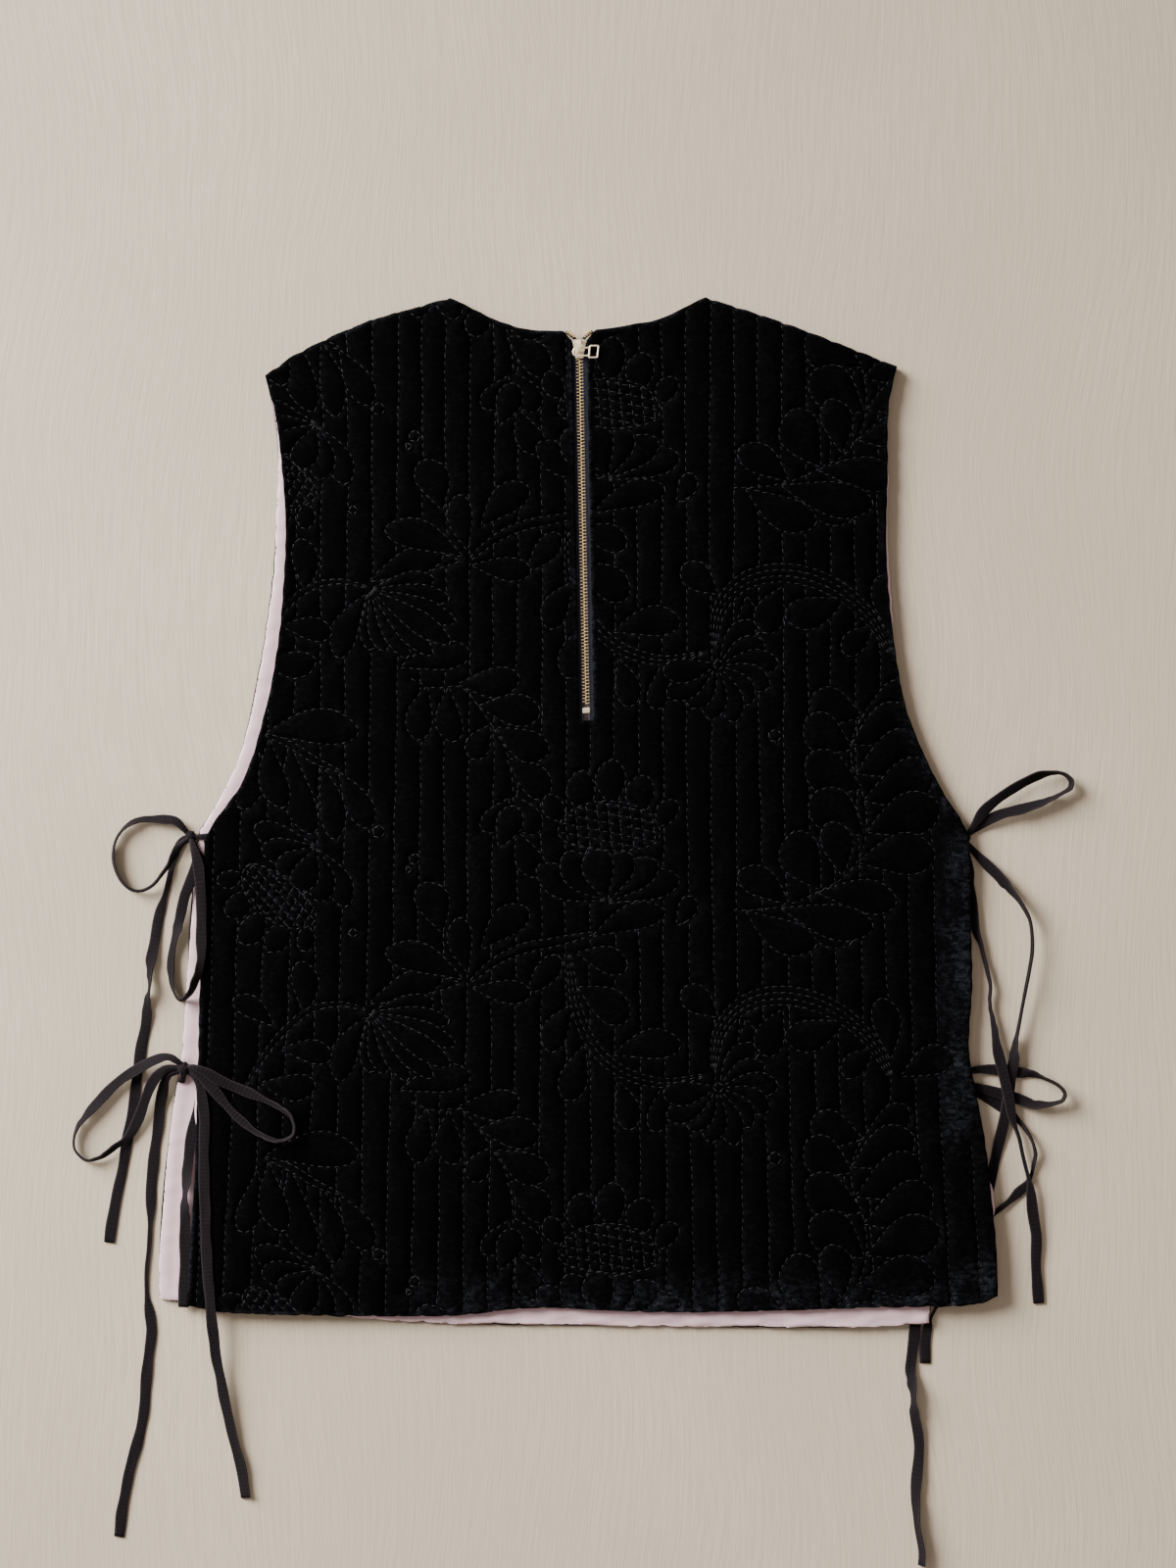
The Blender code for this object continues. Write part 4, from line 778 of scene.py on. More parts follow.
class Panel:
    """A panel's outline, run counterclockwise, with the share of each point that is shoulder."""

    FOLD_BLUR = 9.0  # each end of a shoulder's fold fades out over twice this

    def __init__(self, hem, side_right, armhole_right, neck, armhole_left, side_left, step, slit):
        parts = [
            (0, smooth_line(hem, step)), (0, smooth_line(side_right, step)),
            (0, smooth_line(armhole_right, step)), (1, smooth_line(SHOULDER_RIGHT, step)[::-1]),
            (0, smooth_line(neck, step)[::-1]), (1, smooth_line(SHOULDER_LEFT, step)[::-1]),
            (0, smooth_line(armhole_left, step)[::-1]), (0, smooth_line(side_left, step)[::-1]),
        ]
        ring, fold = self.joined(parts)
        self.outer_tree = tree_of(ring)
        if slit:
            parts[4] = (0, self.with_slit(parts[4][1], slit, step))
            ring, fold = self.joined(parts)
        blur = max(1, round(self.FOLD_BLUR / step))
        wrapped = np.concatenate([fold[-blur:], fold, fold[:blur]])
        window = np.ones(2 * blur + 1) / (2 * blur + 1)
        self.fold = ease(np.convolve(wrapped, window, "valid"))
        self.ring = ring + self.normals(ring) * self.unevenness(ring, self.fold)[:, None]
        self.inward = self.normals(self.ring)
        self.tree = tree_of(self.ring)

    @staticmethod
    def joined(parts):
        """The ring that the parts make end to end, and whether each point is shoulder."""
        ring = np.array([tuple(p)[:2] for _, part in parts for p in part[:-1]])
        return ring, np.array([float(shoulder) for shoulder, part in parts for _ in part[:-1]])

    @staticmethod
    def normals(ring):
        return sideways(np.roll(ring, -1, axis=0) - np.roll(ring, 1, axis=0))

    @staticmethod
    def unevenness(ring, fold):
        """How far the edge is drawn in: a little all along, and more where a quilted row meets it."""
        x, y = ring[:, 0], ring[:, 1]
        wave = 0.22 * np.sin(x / 2.9 + y / 3.7) * np.sin(y / 5.3 - x / 7.1) + 0.1 * np.sin((x - y) / 1.9)
        row = (x - ROW_AT_EDGE + EDGE_PITCH / 2) % EDGE_PITCH - EDGE_PITCH / 2
        across = (y < HEM_BELOW) | (fold > 0.2)
        away = zip_distance(ring) > 14.0  # the slit stays straight
        return (wave + DIMPLE * np.exp(-(row / DIMPLE_HALF) ** 2) * across) * away

    @staticmethod
    def with_slit(neck, half, step):
        """The neck's run, right to left, going down one side of the slit and up the other."""
        right = [zip_point(VEE_HALF, VEE_TO), zip_point(half, VEE_FROM), zip_point(half, SLIT_END)]
        left = [zip_point(-half, SLIT_END), zip_point(-half, VEE_FROM), zip_point(-VEE_HALF, VEE_TO)]
        turned = [tuple(p)[:2] for p in neck]
        before = [p for p in turned if p[0] > right[0][0] + step / 2]
        after = [p for p in turned if p[0] < left[-1][0] - step / 2]
        corners = [before[-1], *right, *left, after[0]]
        slit = []
        for a, b in zip(corners, corners[1:]):
            slit += [tuple(p) for p in evenly([a, b], step)[:-1]]
        return before[:-1] + slit + after

    def offset(self, distance):
        return self.ring + self.inward * distance

    def contains(self, points):
        return inside(points, self.ring)


def panels(name, step):
    """The named panel, with a point about every step of its outline."""
    if name == "back":
        return Panel(
            BACK_HEM, BACK_SIDE_RIGHT, BACK_ARMHOLE_RIGHT, BACK_NECK, BACK_ARMHOLE_LEFT,
            BACK_SIDE_LEFT, step, SLIT_HALF,
        )
    return Panel(
        FRONT_HEM, FRONT_SIDE_RIGHT, FRONT_ARMHOLE_RIGHT, FRONT_NECK, FRONT_ARMHOLE_LEFT,
        FRONT_SIDE_LEFT, step, None,
    )


def spaced(groups, gaps):
    """The groups' points in order, leaving out each that is closer to a kept one than its gap."""
    kept = groups[0]
    for group, gap in zip(groups[1:], gaps[1:]):
        away, _ = nearest(tree_of(kept), group)
        cells, chosen = {}, []
        for x, y in group[away >= gap].tolist():
            i, j = math.floor(x / gap), math.floor(y / gap)
            near = [q for a in (i - 1, i, i + 1) for b in (j - 1, j, j + 1) for q in cells.get((a, b), ())]
            if all((x - q[0]) ** 2 + (y - q[1]) ** 2 >= gap * gap for q in near):
                cells.setdefault((i, j), []).append((x, y))
                chosen.append((x, y))
        if chosen:
            kept = np.vstack([kept, chosen])
    return kept


def triangulated(ring, points):
    """Triangles over a ring's points and others inside it, counterclockwise."""
    count = len(ring)
    every = [Vector(p) for p in ring] + [Vector(p) for p in points]
    edges = [(i, (i + 1) % count) for i in range(count)]
    _, _, faces, origins, _, _ = delaunay_2d_cdt(every, edges, [], 0, 1e-7, True)
    faces = np.array([[origins[i][0] for i in f] for f in faces])
    flat = np.array([tuple(p) for p in every])
    # Only a triangle whose corners are all on the ring may lie outside it
    suspect = np.all(faces < count, axis=1)
    middles = flat[faces[suspect]].mean(axis=1)
    keep = np.ones(len(faces), bool)
    keep[suspect] = inside(middles, ring)
    return faces[keep]


def mesh_object(name, verts, faces, material_name, attributes=()):
    """An object from arrays in millimetres, with its point attributes."""
    mesh = bpy.data.meshes.new(name)
    mesh.from_pydata([tuple(v) for v in np.asarray(verts) * MM], [], [tuple(f) for f in faces])
    for key, values in dict(attributes).items():
        values = np.asarray(values, dtype=np.float32)
        if values.ndim == 1:
            layer = mesh.attributes.new(key, "FLOAT", "POINT")
            layer.data.foreach_set("value", values)
        else:
            layer = mesh.attributes.new(key, "FLOAT_VECTOR", "POINT")
            layer.data.foreach_set("vector", values.ravel())
    mesh.validate()
    made = bpy.data.objects.new(name, mesh)
    bpy.context.scene.collection.objects.link(made)
    mesh.materials.append(material(material_name))
    mesh.shade_smooth()
    return made


# ---------------------------------------------------------------------------- the lie of the cloth


def corner_lift(xy):
    """The rise of both panels towards their lifted lower right corner."""
    away = np.hypot(xy[:, 0] - CORNER[0], xy[:, 1] - CORNER[1])
    return CORNER_LIFT * ease(1 - (away - CORNER_FLAT) / CORNER_RUN)


def left_lift(xy):
    """The rise of the back panel towards its left side."""
    across = ease(1 - (xy[:, 0] - LEFT_FLAT_X) / LEFT_RUN)
    return LEFT_LIFT * across * ease(1 - (xy[:, 1] - LEFT_TOP_Y) / LEFT_TOP_RUN)


def back_lift(xy):
    return corner_lift(xy) + left_lift(xy)


def zip_distance(xy):
    """The distance from the zip's middle line."""
    slant = (ZIP_AT[1] - xy[:, 1]) * math.tan(math.radians(ZIP_TURN))
    return np.abs(xy[:, 0] - ZIP_AT[0] - slant)


def puff(panel, xy):
    """The rise of the back shell from its pressed edges, and over the zip's tapes."""
    edge, _ = nearest(panel.outer_tree, xy)
    above = (xy[:, 1] - ZIP_AT[1] - SLIT_END) / PUFF_RUN + 1
    at_zip = ease(1 - (zip_distance(xy) - PUFF_AT_ZIP) / PUFF_RUN) * ease(above)
    return PUFF * np.maximum(ease(edge / PUFF_RUN), at_zip)


def rolled(top, edge_z, distance, reach):
    """The height at a distance from a rounded edge, which meets the edge upright."""
    t = 1 - np.clip(distance / reach, 0.0, 1.0)
    return edge_z + (top - edge_z) * np.sqrt(np.clip(1 - t * t, 0.0, 1.0))


VALLEY, GROOVE, SWELL_FROM = 2.1, 0.7, 5.0  # reach of each from a quilted row
GROOVE_SHARE, SWELL = 0.45, 0.25  # the groove's share of the valley's depth, and the swell's rise


def quilted(distance, depth):
    """A quilted row's valley with the thread's own groove in it, and the swell between rows."""
    sink = depth * (np.exp(-(distance / VALLEY) ** 2) + GROOVE_SHARE * np.exp(-(distance / GROOVE) ** 2))
    return SWELL * (1 - np.exp(-(distance / SWELL_FROM) ** 2)) - sink


# ---------------------------------------------------------------------------- quilting


class Quilt:
    """Quilted lines drawn one after another, each stopping where an earlier shape lies."""

    CELL = 0.5  # of the map that shows what is taken, in millimetres

    def __init__(self, panel):
        self.panel = panel
        self.low = panel.ring.min(axis=0) - 4.0
        size = (panel.ring.max(axis=0) + 4.0 - self.low) / self.CELL
        self.taken = np.zeros((int(size[1]) + 2, int(size[0]) + 2), bool)
        self.edge = np.zeros_like(self.taken)
        self.fill(panel.ring, self.edge)
        self.lines = []

    def cells(self, points):
        """Row and column of each point's cell in the map."""
        at = np.round((points - self.low) / self.CELL).astype(int)
        at[:, 0] = np.clip(at[:, 0], 0, self.taken.shape[1] - 1)
        at[:, 1] = np.clip(at[:, 1], 0, self.taken.shape[0] - 1)
        return at[:, 1], at[:, 0]

    def fill(self, ring, layer=None):
        """Takes what lies inside a ring."""
        layer = self.taken if layer is None else layer
        (i0, i1), (j0, j1) = (
            (max(int((ring[:, a].min() - self.low[a]) / self.CELL), 0),
             min(int((ring[:, a].max() - self.low[a]) / self.CELL) + 2, layer.shape[1 - a]))
            for a in (0, 1)
        )
        if i1 <= i0 or j1 <= j0:
            return
        xs, ys = np.meshgrid(np.arange(i0, i1), np.arange(j0, j1))
        points = np.stack([xs.ravel(), ys.ravel()], axis=1) * self.CELL + self.low
        layer[j0:j1, i0:i1] |= inside(points, ring).reshape(xs.shape)

    def draw(self, line, shortest=3.0, margin=1.8):
        """Adds what is free of a line."""
        line = evenly(line, 0.7)
        free = ~self.taken[self.cells(line)]
        free &= self.edge[self.cells(line)]
        away, _ = nearest(self.panel.tree, line)
        free &= away > margin
        for start, end in unbroken(free):
            run = line[start:end]
            if len(run) > 1 and np.hypot(*np.diff(run, axis=0).T).sum() >= shortest:
                self.lines.append(run)

    def shape(self, ring):
        """Adds a closed shape and takes its place."""
        ring = np.asarray(ring)
        self.draw(closed(ring))
        self.fill(ring)


def turned(points, x, y, angle, size=1.0):
    """Points of a motif's own frame, whose +X is its way, placed on the panel."""
    c, s = math.cos(math.radians(angle)), math.sin(math.radians(angle))
    points = np.asarray(points, dtype=float) * size
    return np.stack(
        [x + points[:, 0] * c - points[:, 1] * s, y + points[:, 0] * s + points[:, 1] * c], axis=1)


def leaf(length, width, point=1.6, sway=0.05):
    """A leaf from its pointed foot at the origin to its round tip, a little bent."""
    t = np.sin(np.linspace(0.0, np.pi / 2, 18))
    half = width / 2 * np.sin(np.pi * t ** point) ** 0.62
    bend = sway * length * (np.sin(np.pi * t) - 0.4)
    upper = np.stack([t * length, half + bend], axis=1)
    lower = np.stack([t * length, bend - half], axis=1)[::-1]
    return np.vstack([upper, lower[1:-1]])


def draw_flower(quilt, x, y, way, size):
    """A full flower: a cup of petals from its foot, a cross-hatched dome, and a crown above it."""
    dome = [(39 + 20 * math.sin(a) ** 0.9, 30 * math.cos(a)) for a in np.linspace(0, math.pi, 26)]
    dome += [(39 - 9 * math.sin(a), -30 * math.cos(a)) for a in np.linspace(0, math.pi, 14)[1:-1]]
    ring = np.asarray(dome)
    outline = turned(dome, x, y, way, size)
    quilt.draw(closed(outline))
    across = np.linspace(-34, 34, 70)
    for k in range(-14, 15):
        for line in (
            np.stack([46 + k * 5.4 + 0.16 * across, across], axis=1),
            np.stack([across + 46, k * 6.4 + 0.14 * across], axis=1),
        ):
            for run in runs_inside(line, ring):
                quilt.draw(turned(run, x, y, way, size))
    quilt.fill(outline)
    for foot, angle, length, width in (
        (-1, 2, 27, 18), (15, 7, 26, 17), (-16, -7, 25, 17), (27, 34, 19, 13), (-28, -34, 19, 13),
    ):
        petal = turned(leaf(length, width, 1.2), 57.0 - abs(foot) * 0.42, foot, angle)
        quilt.shape(turned(petal, x, y, way, size))
    for angle, length, width in (
        (14, 33, 19), (-20, 32, 18), (44, 38, 19), (-48, 38, 18), (67, 46, 18), (-69, 45, 18),
    ):
        quilt.shape(turned(turned(leaf(length, width, 1.7), 0, 0, angle), x, y, way, size))
    for foot, angle in ((7, 20), (-6, -24)):
        bud = turned(leaf(13, 8, 1.2), 19.0, foot, angle)
        quilt.draw(turned(closed(bud), x, y, way, size))


def runs_inside(line, ring):
    """The stretches of a line of more than two points that lie inside a ring."""
    return [line[start:end] for start, end in unbroken(inside(line, ring)) if end - start > 2]


def draw_carnation(quilt, x, y, way, size):
    """A half-open flower: narrow petals with saw-edged tips, spread like a fan."""
    for angle, length in ((0, 58), (-13, 54), (13, 55), (-27, 47), (27, 48), (-43, 38), (43, 39)):
        t = np.linspace(0.0, 1.0, 40)
        saw = 1.6 * np.abs(((t * 11) % 1.0) - 0.5) * (t > 0.55)
        half = 6.2 * np.sin(np.pi * t ** 1.4) ** 0.8 + saw
        upper = np.stack([t * length, half], axis=1)
        lower = np.stack([t * length, -half], axis=1)[::-1]
        ring = turned(np.vstack([upper, lower[1:-1]]), 0, 0, angle)
        quilt.shape(turned(ring, x, y, way, size))


def draw_daisy(quilt, x, y, first, last, petals):
    """A wide daisy, as a fan of round petals about a small button."""
    quilt.shape(turned(circle(3.4, 13), x, y, 0))
    for k in range(petals):
        angle = first + (last - first) * k / (petals - 1)
        length = 33.0 + 3.0 * math.sin(2.1 * k)
        quilt.shape(turned(leaf(length, 14.5, 1.7), x, y, angle))


def draw_stem(quilt, lines, gap, route):
    """A stem of two or more rows side by side, drawn together at its ends."""
    middle = evenly(smooth_line(route, 2.0), 2.0)
    side = sideways(np.gradient(middle, axis=0))
    swell = (0.15 + 0.85 * np.sin(np.linspace(0, np.pi, len(middle))) ** 0.6)[:, None]
    half = gap * (lines - 1) / 2
    for k in range(lines):
        quilt.draw(middle + side * (k * gap - half) * swell)
    quilt.fill(np.vstack([middle + side * half * swell, (middle - side * half * swell)[::-1]]))


def draw_channels(quilt, pitch, shortest=5.0):
    """Upright rows, a little uneven and spreading towards the hem, wherever no motif lies."""
    low, high = quilt.panel.ring.min(axis=0), quilt.panel.ring.max(axis=0)
    for k in range(-15, 17):
        y = np.arange(low[1], high[1] if k < 16 else -192.0, 1.5)
        at = ROW_AT + k * pitch
        at -= 0.055 * max(-107.0 - at, 0.0)  # the cloth is a little stretched at the left side
        spread = 1 - 0.000165 * (y + 100.0) + 2.35e-7 * (y + 100.0) ** 2
        x = (at + 3.0 * (k > 15)) * spread + 0.5 * np.sin(y / 31.0 + 1.9 * k)
        x = x + 0.3 * np.sin(y / 6.3 + k) + 0.2 * np.sin(y / 2.6 + 2.3 * k)
        quilt.draw(np.stack([x, y], axis=1), shortest, 1.2)


def back_quilt(panel, pitch):
    """The back's motifs, repeated up the panel, and the rows that fill the rest."""
    quilt = Quilt(panel)
    zip_ring = [zip_point(*p) for p in ((-7, 30), (-7, -214), (7, -214), (7, 30))]
    quilt.fill(np.array(zip_ring))
    repeats = [k * REPEAT for k in (-1, 0, 1, 2)]
    for up in repeats:
        for x, y, way, size in FLOWERS:
            draw_flower(quilt, x, y + up, way, size)
        for x, y, first, last, petals in DAISIES:
            draw_daisy(quilt, x, y + up, first, last, petals)
        for x, y, way, size in CARNATIONS:
            draw_carnation(quilt, x, y + up, way, size)
    for up in repeats:
        for lines, gap, route in STEMS:
            draw_stem(quilt, lines, gap, [(x, y + up) for x, y in route])
    for up in repeats:
        for x, y, way, length, width in LEAVES:
            sway = 0.075 * math.sin(0.7 * x + 1.3 * y)
            quilt.shape(turned(leaf(length, width, sway=sway), x, y + up, way))
        for route in TRAILS:
            quilt.draw(smooth_line([(x, y + up) for x, y in route], 1.0))
        for x, y, radius in BERRIES:
            quilt.shape(turned(circle(radius, 12), x, y + up, 0))
    draw_channels(quilt, pitch)
    return quilt


def cloth_points(panel, quilt, step, grid):
    """Points of a quilted panel: dense along its rows and its edge, wide between them."""
    rows = [evenly(line, step) for line in quilt.lines]
    beside_rows = [beside(row, d) for d in (0.9, -0.9) for row in rows if len(row) > 1]
    beyond_rows = [beside(row, d) for d in (2.3, -2.3) for row in rows if len(row) > 1]
    # Between them, a grid of even triangles
    low, high = panel.ring.min(axis=0), panel.ring.max(axis=0)
    xs, ys = np.meshgrid(np.arange(low[0], high[0], grid), np.arange(low[1], high[1], grid * 0.87))
    xs = xs + (np.arange(xs.shape[0]) % 2)[:, None] * grid / 2
    field = np.stack([xs.ravel(), ys.ravel()], axis=1)
    groups = [
        panel.ring, panel.offset(0.5), panel.offset(1.2), panel.offset(2.2), panel.offset(3.6),
        np.vstack(rows), np.vstack(beside_rows), np.vstack(beyond_rows), field,
    ]
    inner = [g[panel.contains(g)] for g in groups[1:]]
    gaps = [0.2, 0.35, 0.5, 0.8, 1.1, 0.6, 0.62, 1.0, grid * 0.55]
    kept = spaced([groups[0], *inner], gaps)
    return kept[len(panel.ring):]


def cloth_piece(name, panel, points, height, rims, material_name, attributes, flip=False):
    """An open skin over the panel, with its edge turned in through rims of (inset, height).

    The height is a function of places and their distance to, and share of shoulder at, the edge.
    """
    ring = panel.ring
    faces = triangulated(ring, points)
    flat = np.vstack([ring, points])
    distance, index = nearest(panel.tree, points)
    distance = np.concatenate([np.zeros(len(ring)), distance])
    fold = np.concatenate([panel.fold, panel.fold[index]])
    z = height(flat, distance, fold)
    verts = [np.column_stack([flat, z])]
    count, start, before = len(ring), len(flat), np.arange(len(ring))
    for inset, level in rims:
        verts.append(np.column_stack([panel.offset(inset), level(ring, z[:count], panel.fold)]))
        after = start + np.arange(count)
        wall = np.column_stack([before, after, np.roll(after, -1), np.roll(before, -1)])
        faces = [*faces, *wall]
        before, start = after, start + count
    if flip:
        faces = [f[::-1] for f in faces]
    verts = np.vstack(verts)
    values = {}
    for key, maker in dict(attributes).items():
        inner = maker(flat, distance)
        extra = np.tile(inner[:count], len(rims))
        values[key] = np.concatenate([inner, extra])
    return mesh_object(name, verts, faces, material_name, values)


# ---------------------------------------------------------------------------- shells and linings


def build_back_shell():
    """The quilted back, with its edge turned under, and the thread of its rows."""
    sizes = bpy.context.scene.waistcoat_sizes
    panel = panels("back", 1.6)
    quilt = back_quilt(panel, sizes.channel_pitch / MM)
    depth = sizes.quilt_depth / MM
    rows = tree_of(np.vstack([evenly(line, 0.6) for line in quilt.lines]))

    def height(xy, distance, fold):
        from_row, _ = nearest(rows, xy)
        lift = back_lift(xy)
        top = BACK_SHELL_TOP + puff(panel, xy) + lift + quilted(from_row, depth)
        edge_z = (BACK_SHELL_BOTTOM + 1.0 + lift) * (1 - fold) + SHOULDER_SEAM * fold
        at_slit = ease(1 - (zip_distance(xy) - 10.0) / 6.0) * (xy[:, 1] > ZIP_AT[1] + SLIT_END - 6)
        edge_z = edge_z + at_slit * 1.2
        return rolled(top, edge_z, distance, 2.2 + 1.45 * fold)

    def painted_sheen(xy, distance):
        """How much blue-grey painted sheen the pile gets: most along edges, by the hem and at the right."""
        from_row, _ = nearest(rows, xy)
        x, y = xy.T
        along_row = 0.05 * np.exp(-from_row ** 2)
        edge = 0.28 * np.exp(-(distance / 1.6) ** 2)
        puffed = 0.45 + 0.55 * np.exp(-((from_row - 2.6) / 1.6) ** 2)
        right = 0.06 * ease((x - 190.0) / 30.0) * ease((15.0 - y) / 40.0)
        hem = 0.30 * ease((-262.0 - y) / 26.0) * ease((x + 120.0) / 60.0)
        # Painted sheen in patches: at the right side, round the right armhole and at the lower right corner
        sheen_spots = 0.25 * ease((x - 211.0) / 8.0) * ease((-2.0 - y) / 30.0) * ease((y + 200.0) / 16.0)
        armhole = 0.2 * np.exp(-(distance / 6.0) ** 2) * ease((80.0 - y) / 50.0) * ease((y + 25) / 20)
        corner = 0.3 * np.exp(-(((x - 234.0) / 13.0) ** 2 + ((y + 276.0) / 14.0) ** 2))
        sheen_spots = sheen_spots + armhole * (x > 100.0) + corner
        return np.clip(0.03 + along_row + edge + (right + hem) * puffed + sheen_spots, 0.0, 1.0)

    def turned_under(drop, level):
        """A rim of the turned edge: at a level, or by its drop below the edge at the shoulders."""
        def at(xy, edge, fold):
            return np.where(fold > 0.5, edge - drop * 0.2, level + back_lift(xy))
        return at

    step, grid = ((1.9, 3.6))
    points = cloth_points(panel, quilt, step, grid)
    low = BACK_SHELL_BOTTOM
    rims = (
        (0.15, turned_under(0.3, low + 0.55)), (0.7, turned_under(0.6, low + 0.12)),
        (4.0, turned_under(0.8, low + 0.06)),
    )
    shell = cloth_piece("back_velvet", panel, points, height, rims, "velvet", {"painted_sheen": painted_sheen})
    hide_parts("back_shell")
    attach(shell, GARMENT)
    build_stitches("back_stitches", panel, quilt, height)
    return shell


def build_stitches(name, panel, quilt, height):
    """Thread laid along every row, one raised stitch after another."""
    sizes = bpy.context.scene.waistcoat_sizes
    pitch, long, wide = (v / MM for v in (sizes.stitch_pitch, sizes.stitch_length, sizes.thread_width))
    feet, ways = [], []
    for line in quilt.lines:
        points = evenly(line, pitch)
        if len(points) < 2:
            continue
        feet.append((points[:-1] + points[1:]) / 2)
        way = np.diff(points, axis=0)
        ways.append(way / np.hypot(way[:, 0], way[:, 1])[:, None])
    feet, ways = np.vstack(feet), np.vstack(ways)
    distance, index = nearest(panel.tree, feet)
    z = height(feet, distance, panel.fold[index])
    chance = np.random.default_rng(11)
    long = long * chance.uniform(0.7, 1.15, (len(feet), 1))
    slant = chance.normal(0.09, 0.07, (len(feet), 1))
    side = sideways(ways)
    feet = feet + side * chance.normal(0.0, 0.06, (len(feet), 1))
    ways = ways + side * slant
    # Each stitch is four sections of three points, its ends narrow and sunk
    verts = []
    for along, full, dip in ((-0.5, 0.25, -0.30), (-0.3, 1.0, 0.0), (0.3, 1.0, 0.0), (0.5, 0.25, -0.30)):
        for across, up in ((-0.5, 0.0), (0.0, 0.75), (0.5, 0.0)):
            xy = feet + ways * along * long + side * across * wide * full
            verts.append(np.column_stack([xy, z + 0.06 + dip + up * wide * full]))
    verts = np.stack(verts, axis=1)
    block = [(i, i + 3, i + 4, i + 1) for i in (0, 1, 3, 4, 6, 7)]
    faces = [tuple(base + i for i in f) for base in range(0, 12 * len(feet), 12) for f in block]
    stitches = mesh_object(name, verts.reshape(-1, 3), faces, "thread")
    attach(stitches, GARMENT)
    return stitches


def build_front_shell():
    """The front shell lies with its velvet down, so its quilted face is below and only its rim shows."""
    sizes = bpy.context.scene.waistcoat_sizes
    panel = panels("front", 2.4)
    quilt = Quilt(panel)
    draw_channels(quilt, sizes.channel_pitch / MM, 20.0)
    rows = tree_of(np.vstack([evenly(line, 0.8) for line in quilt.lines]))

    def height(xy, distance, fold):
        from_row, _ = nearest(rows, xy)
        lift = corner_lift(xy)
        under = lift + 0.6 * np.exp(-(from_row / 2.2) ** 2)
        edge_z = (1.1 + lift) * (1 - fold) + (SHOULDER_SEAM - 0.1) * fold
        return rolled(under, edge_z, distance, 2.0 + 1.6 * fold)

    # Painted sheen along the rows and the turned edge
    def painted_sheen(xy, distance):
        from_row, _ = nearest(rows, xy)
        return np.clip(0.1 + 0.4 * np.exp(-(from_row / 1.3) ** 2) + 0.5 * np.exp(-(distance / 3) ** 2), 0, 1)

    def turned_over(level):
        def at(xy, edge, fold):
            return np.where(fold > 0.5, edge + 0.02, level + corner_lift(xy))
        return at

    points = cloth_points(panel, quilt, 5.0, 8.0)
    rims = (
        (0.15, turned_over(1.7)), (0.7, turned_over(2.12)), (1.6, turned_over(2.3)),
        (5.0, turned_over(2.2)),
    )
    shell = cloth_piece(
        "front_velvet", panel, points, height, rims, "velvet", {"painted_sheen": painted_sheen}, flip=True)
    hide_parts("front_shell")
    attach(shell, GARMENT)
    return shell


class LiningPanel(Panel):
    """A panel drawn in from the shell's edge, further by the zip and most below the shoulders.

    The edge is about how far it is drawn in, and top is what is added at the shoulders.
    Each of the peeps is a side and the heights between which it comes out past the shell.
    """

    def __init__(self, panel, edge, top, peeps=()):
        ring = panel.ring
        x, y = ring[:, 0], ring[:, 1]
        uneven = edge * (0.6 + 0.5 * np.sin(x / 23.0 + y / 31.0) + 0.35 * np.sin(x / 7.7 - y / 11.3))
        near_zip = 2.6 * (zip_distance(ring) < 13.0) * (y > ZIP_AT[1] + SLIT_END - 8.0)
        inset = np.maximum(uneven, 0.05) + top * panel.fold + near_zip
        for side, low, high, out in peeps:
            on_side = ring[:, 0] < 0 if side == "left" else ring[:, 0] > 0
            on_side &= np.abs(ring[:, 0]) > 150
            rise = ease((y - low) / 10.0) * ease((high - y) / 10.0) * on_side
            inset = inset - (edge + out) * rise
        moved = ring + panel.inward * inset[:, None]
        away, _ = nearest(panel.tree, moved)
        kept = away > np.abs(inset) - 0.15
        self.ring, self.fold, self.inward = moved[kept], panel.fold[kept], panel.inward[kept]
        self.outer_tree = panel.outer_tree
        self.tree = tree_of(self.ring)


LINING_SINKS = 1.05  # at most, as far as the shell's turned edge, which lies below it
FRONT_LINING_EDGE, BACK_LINING_EDGE = 0.8, 0.7
LINING_BELOW_SHOULDER = 4.6
BACK_PUCKER = 0.15


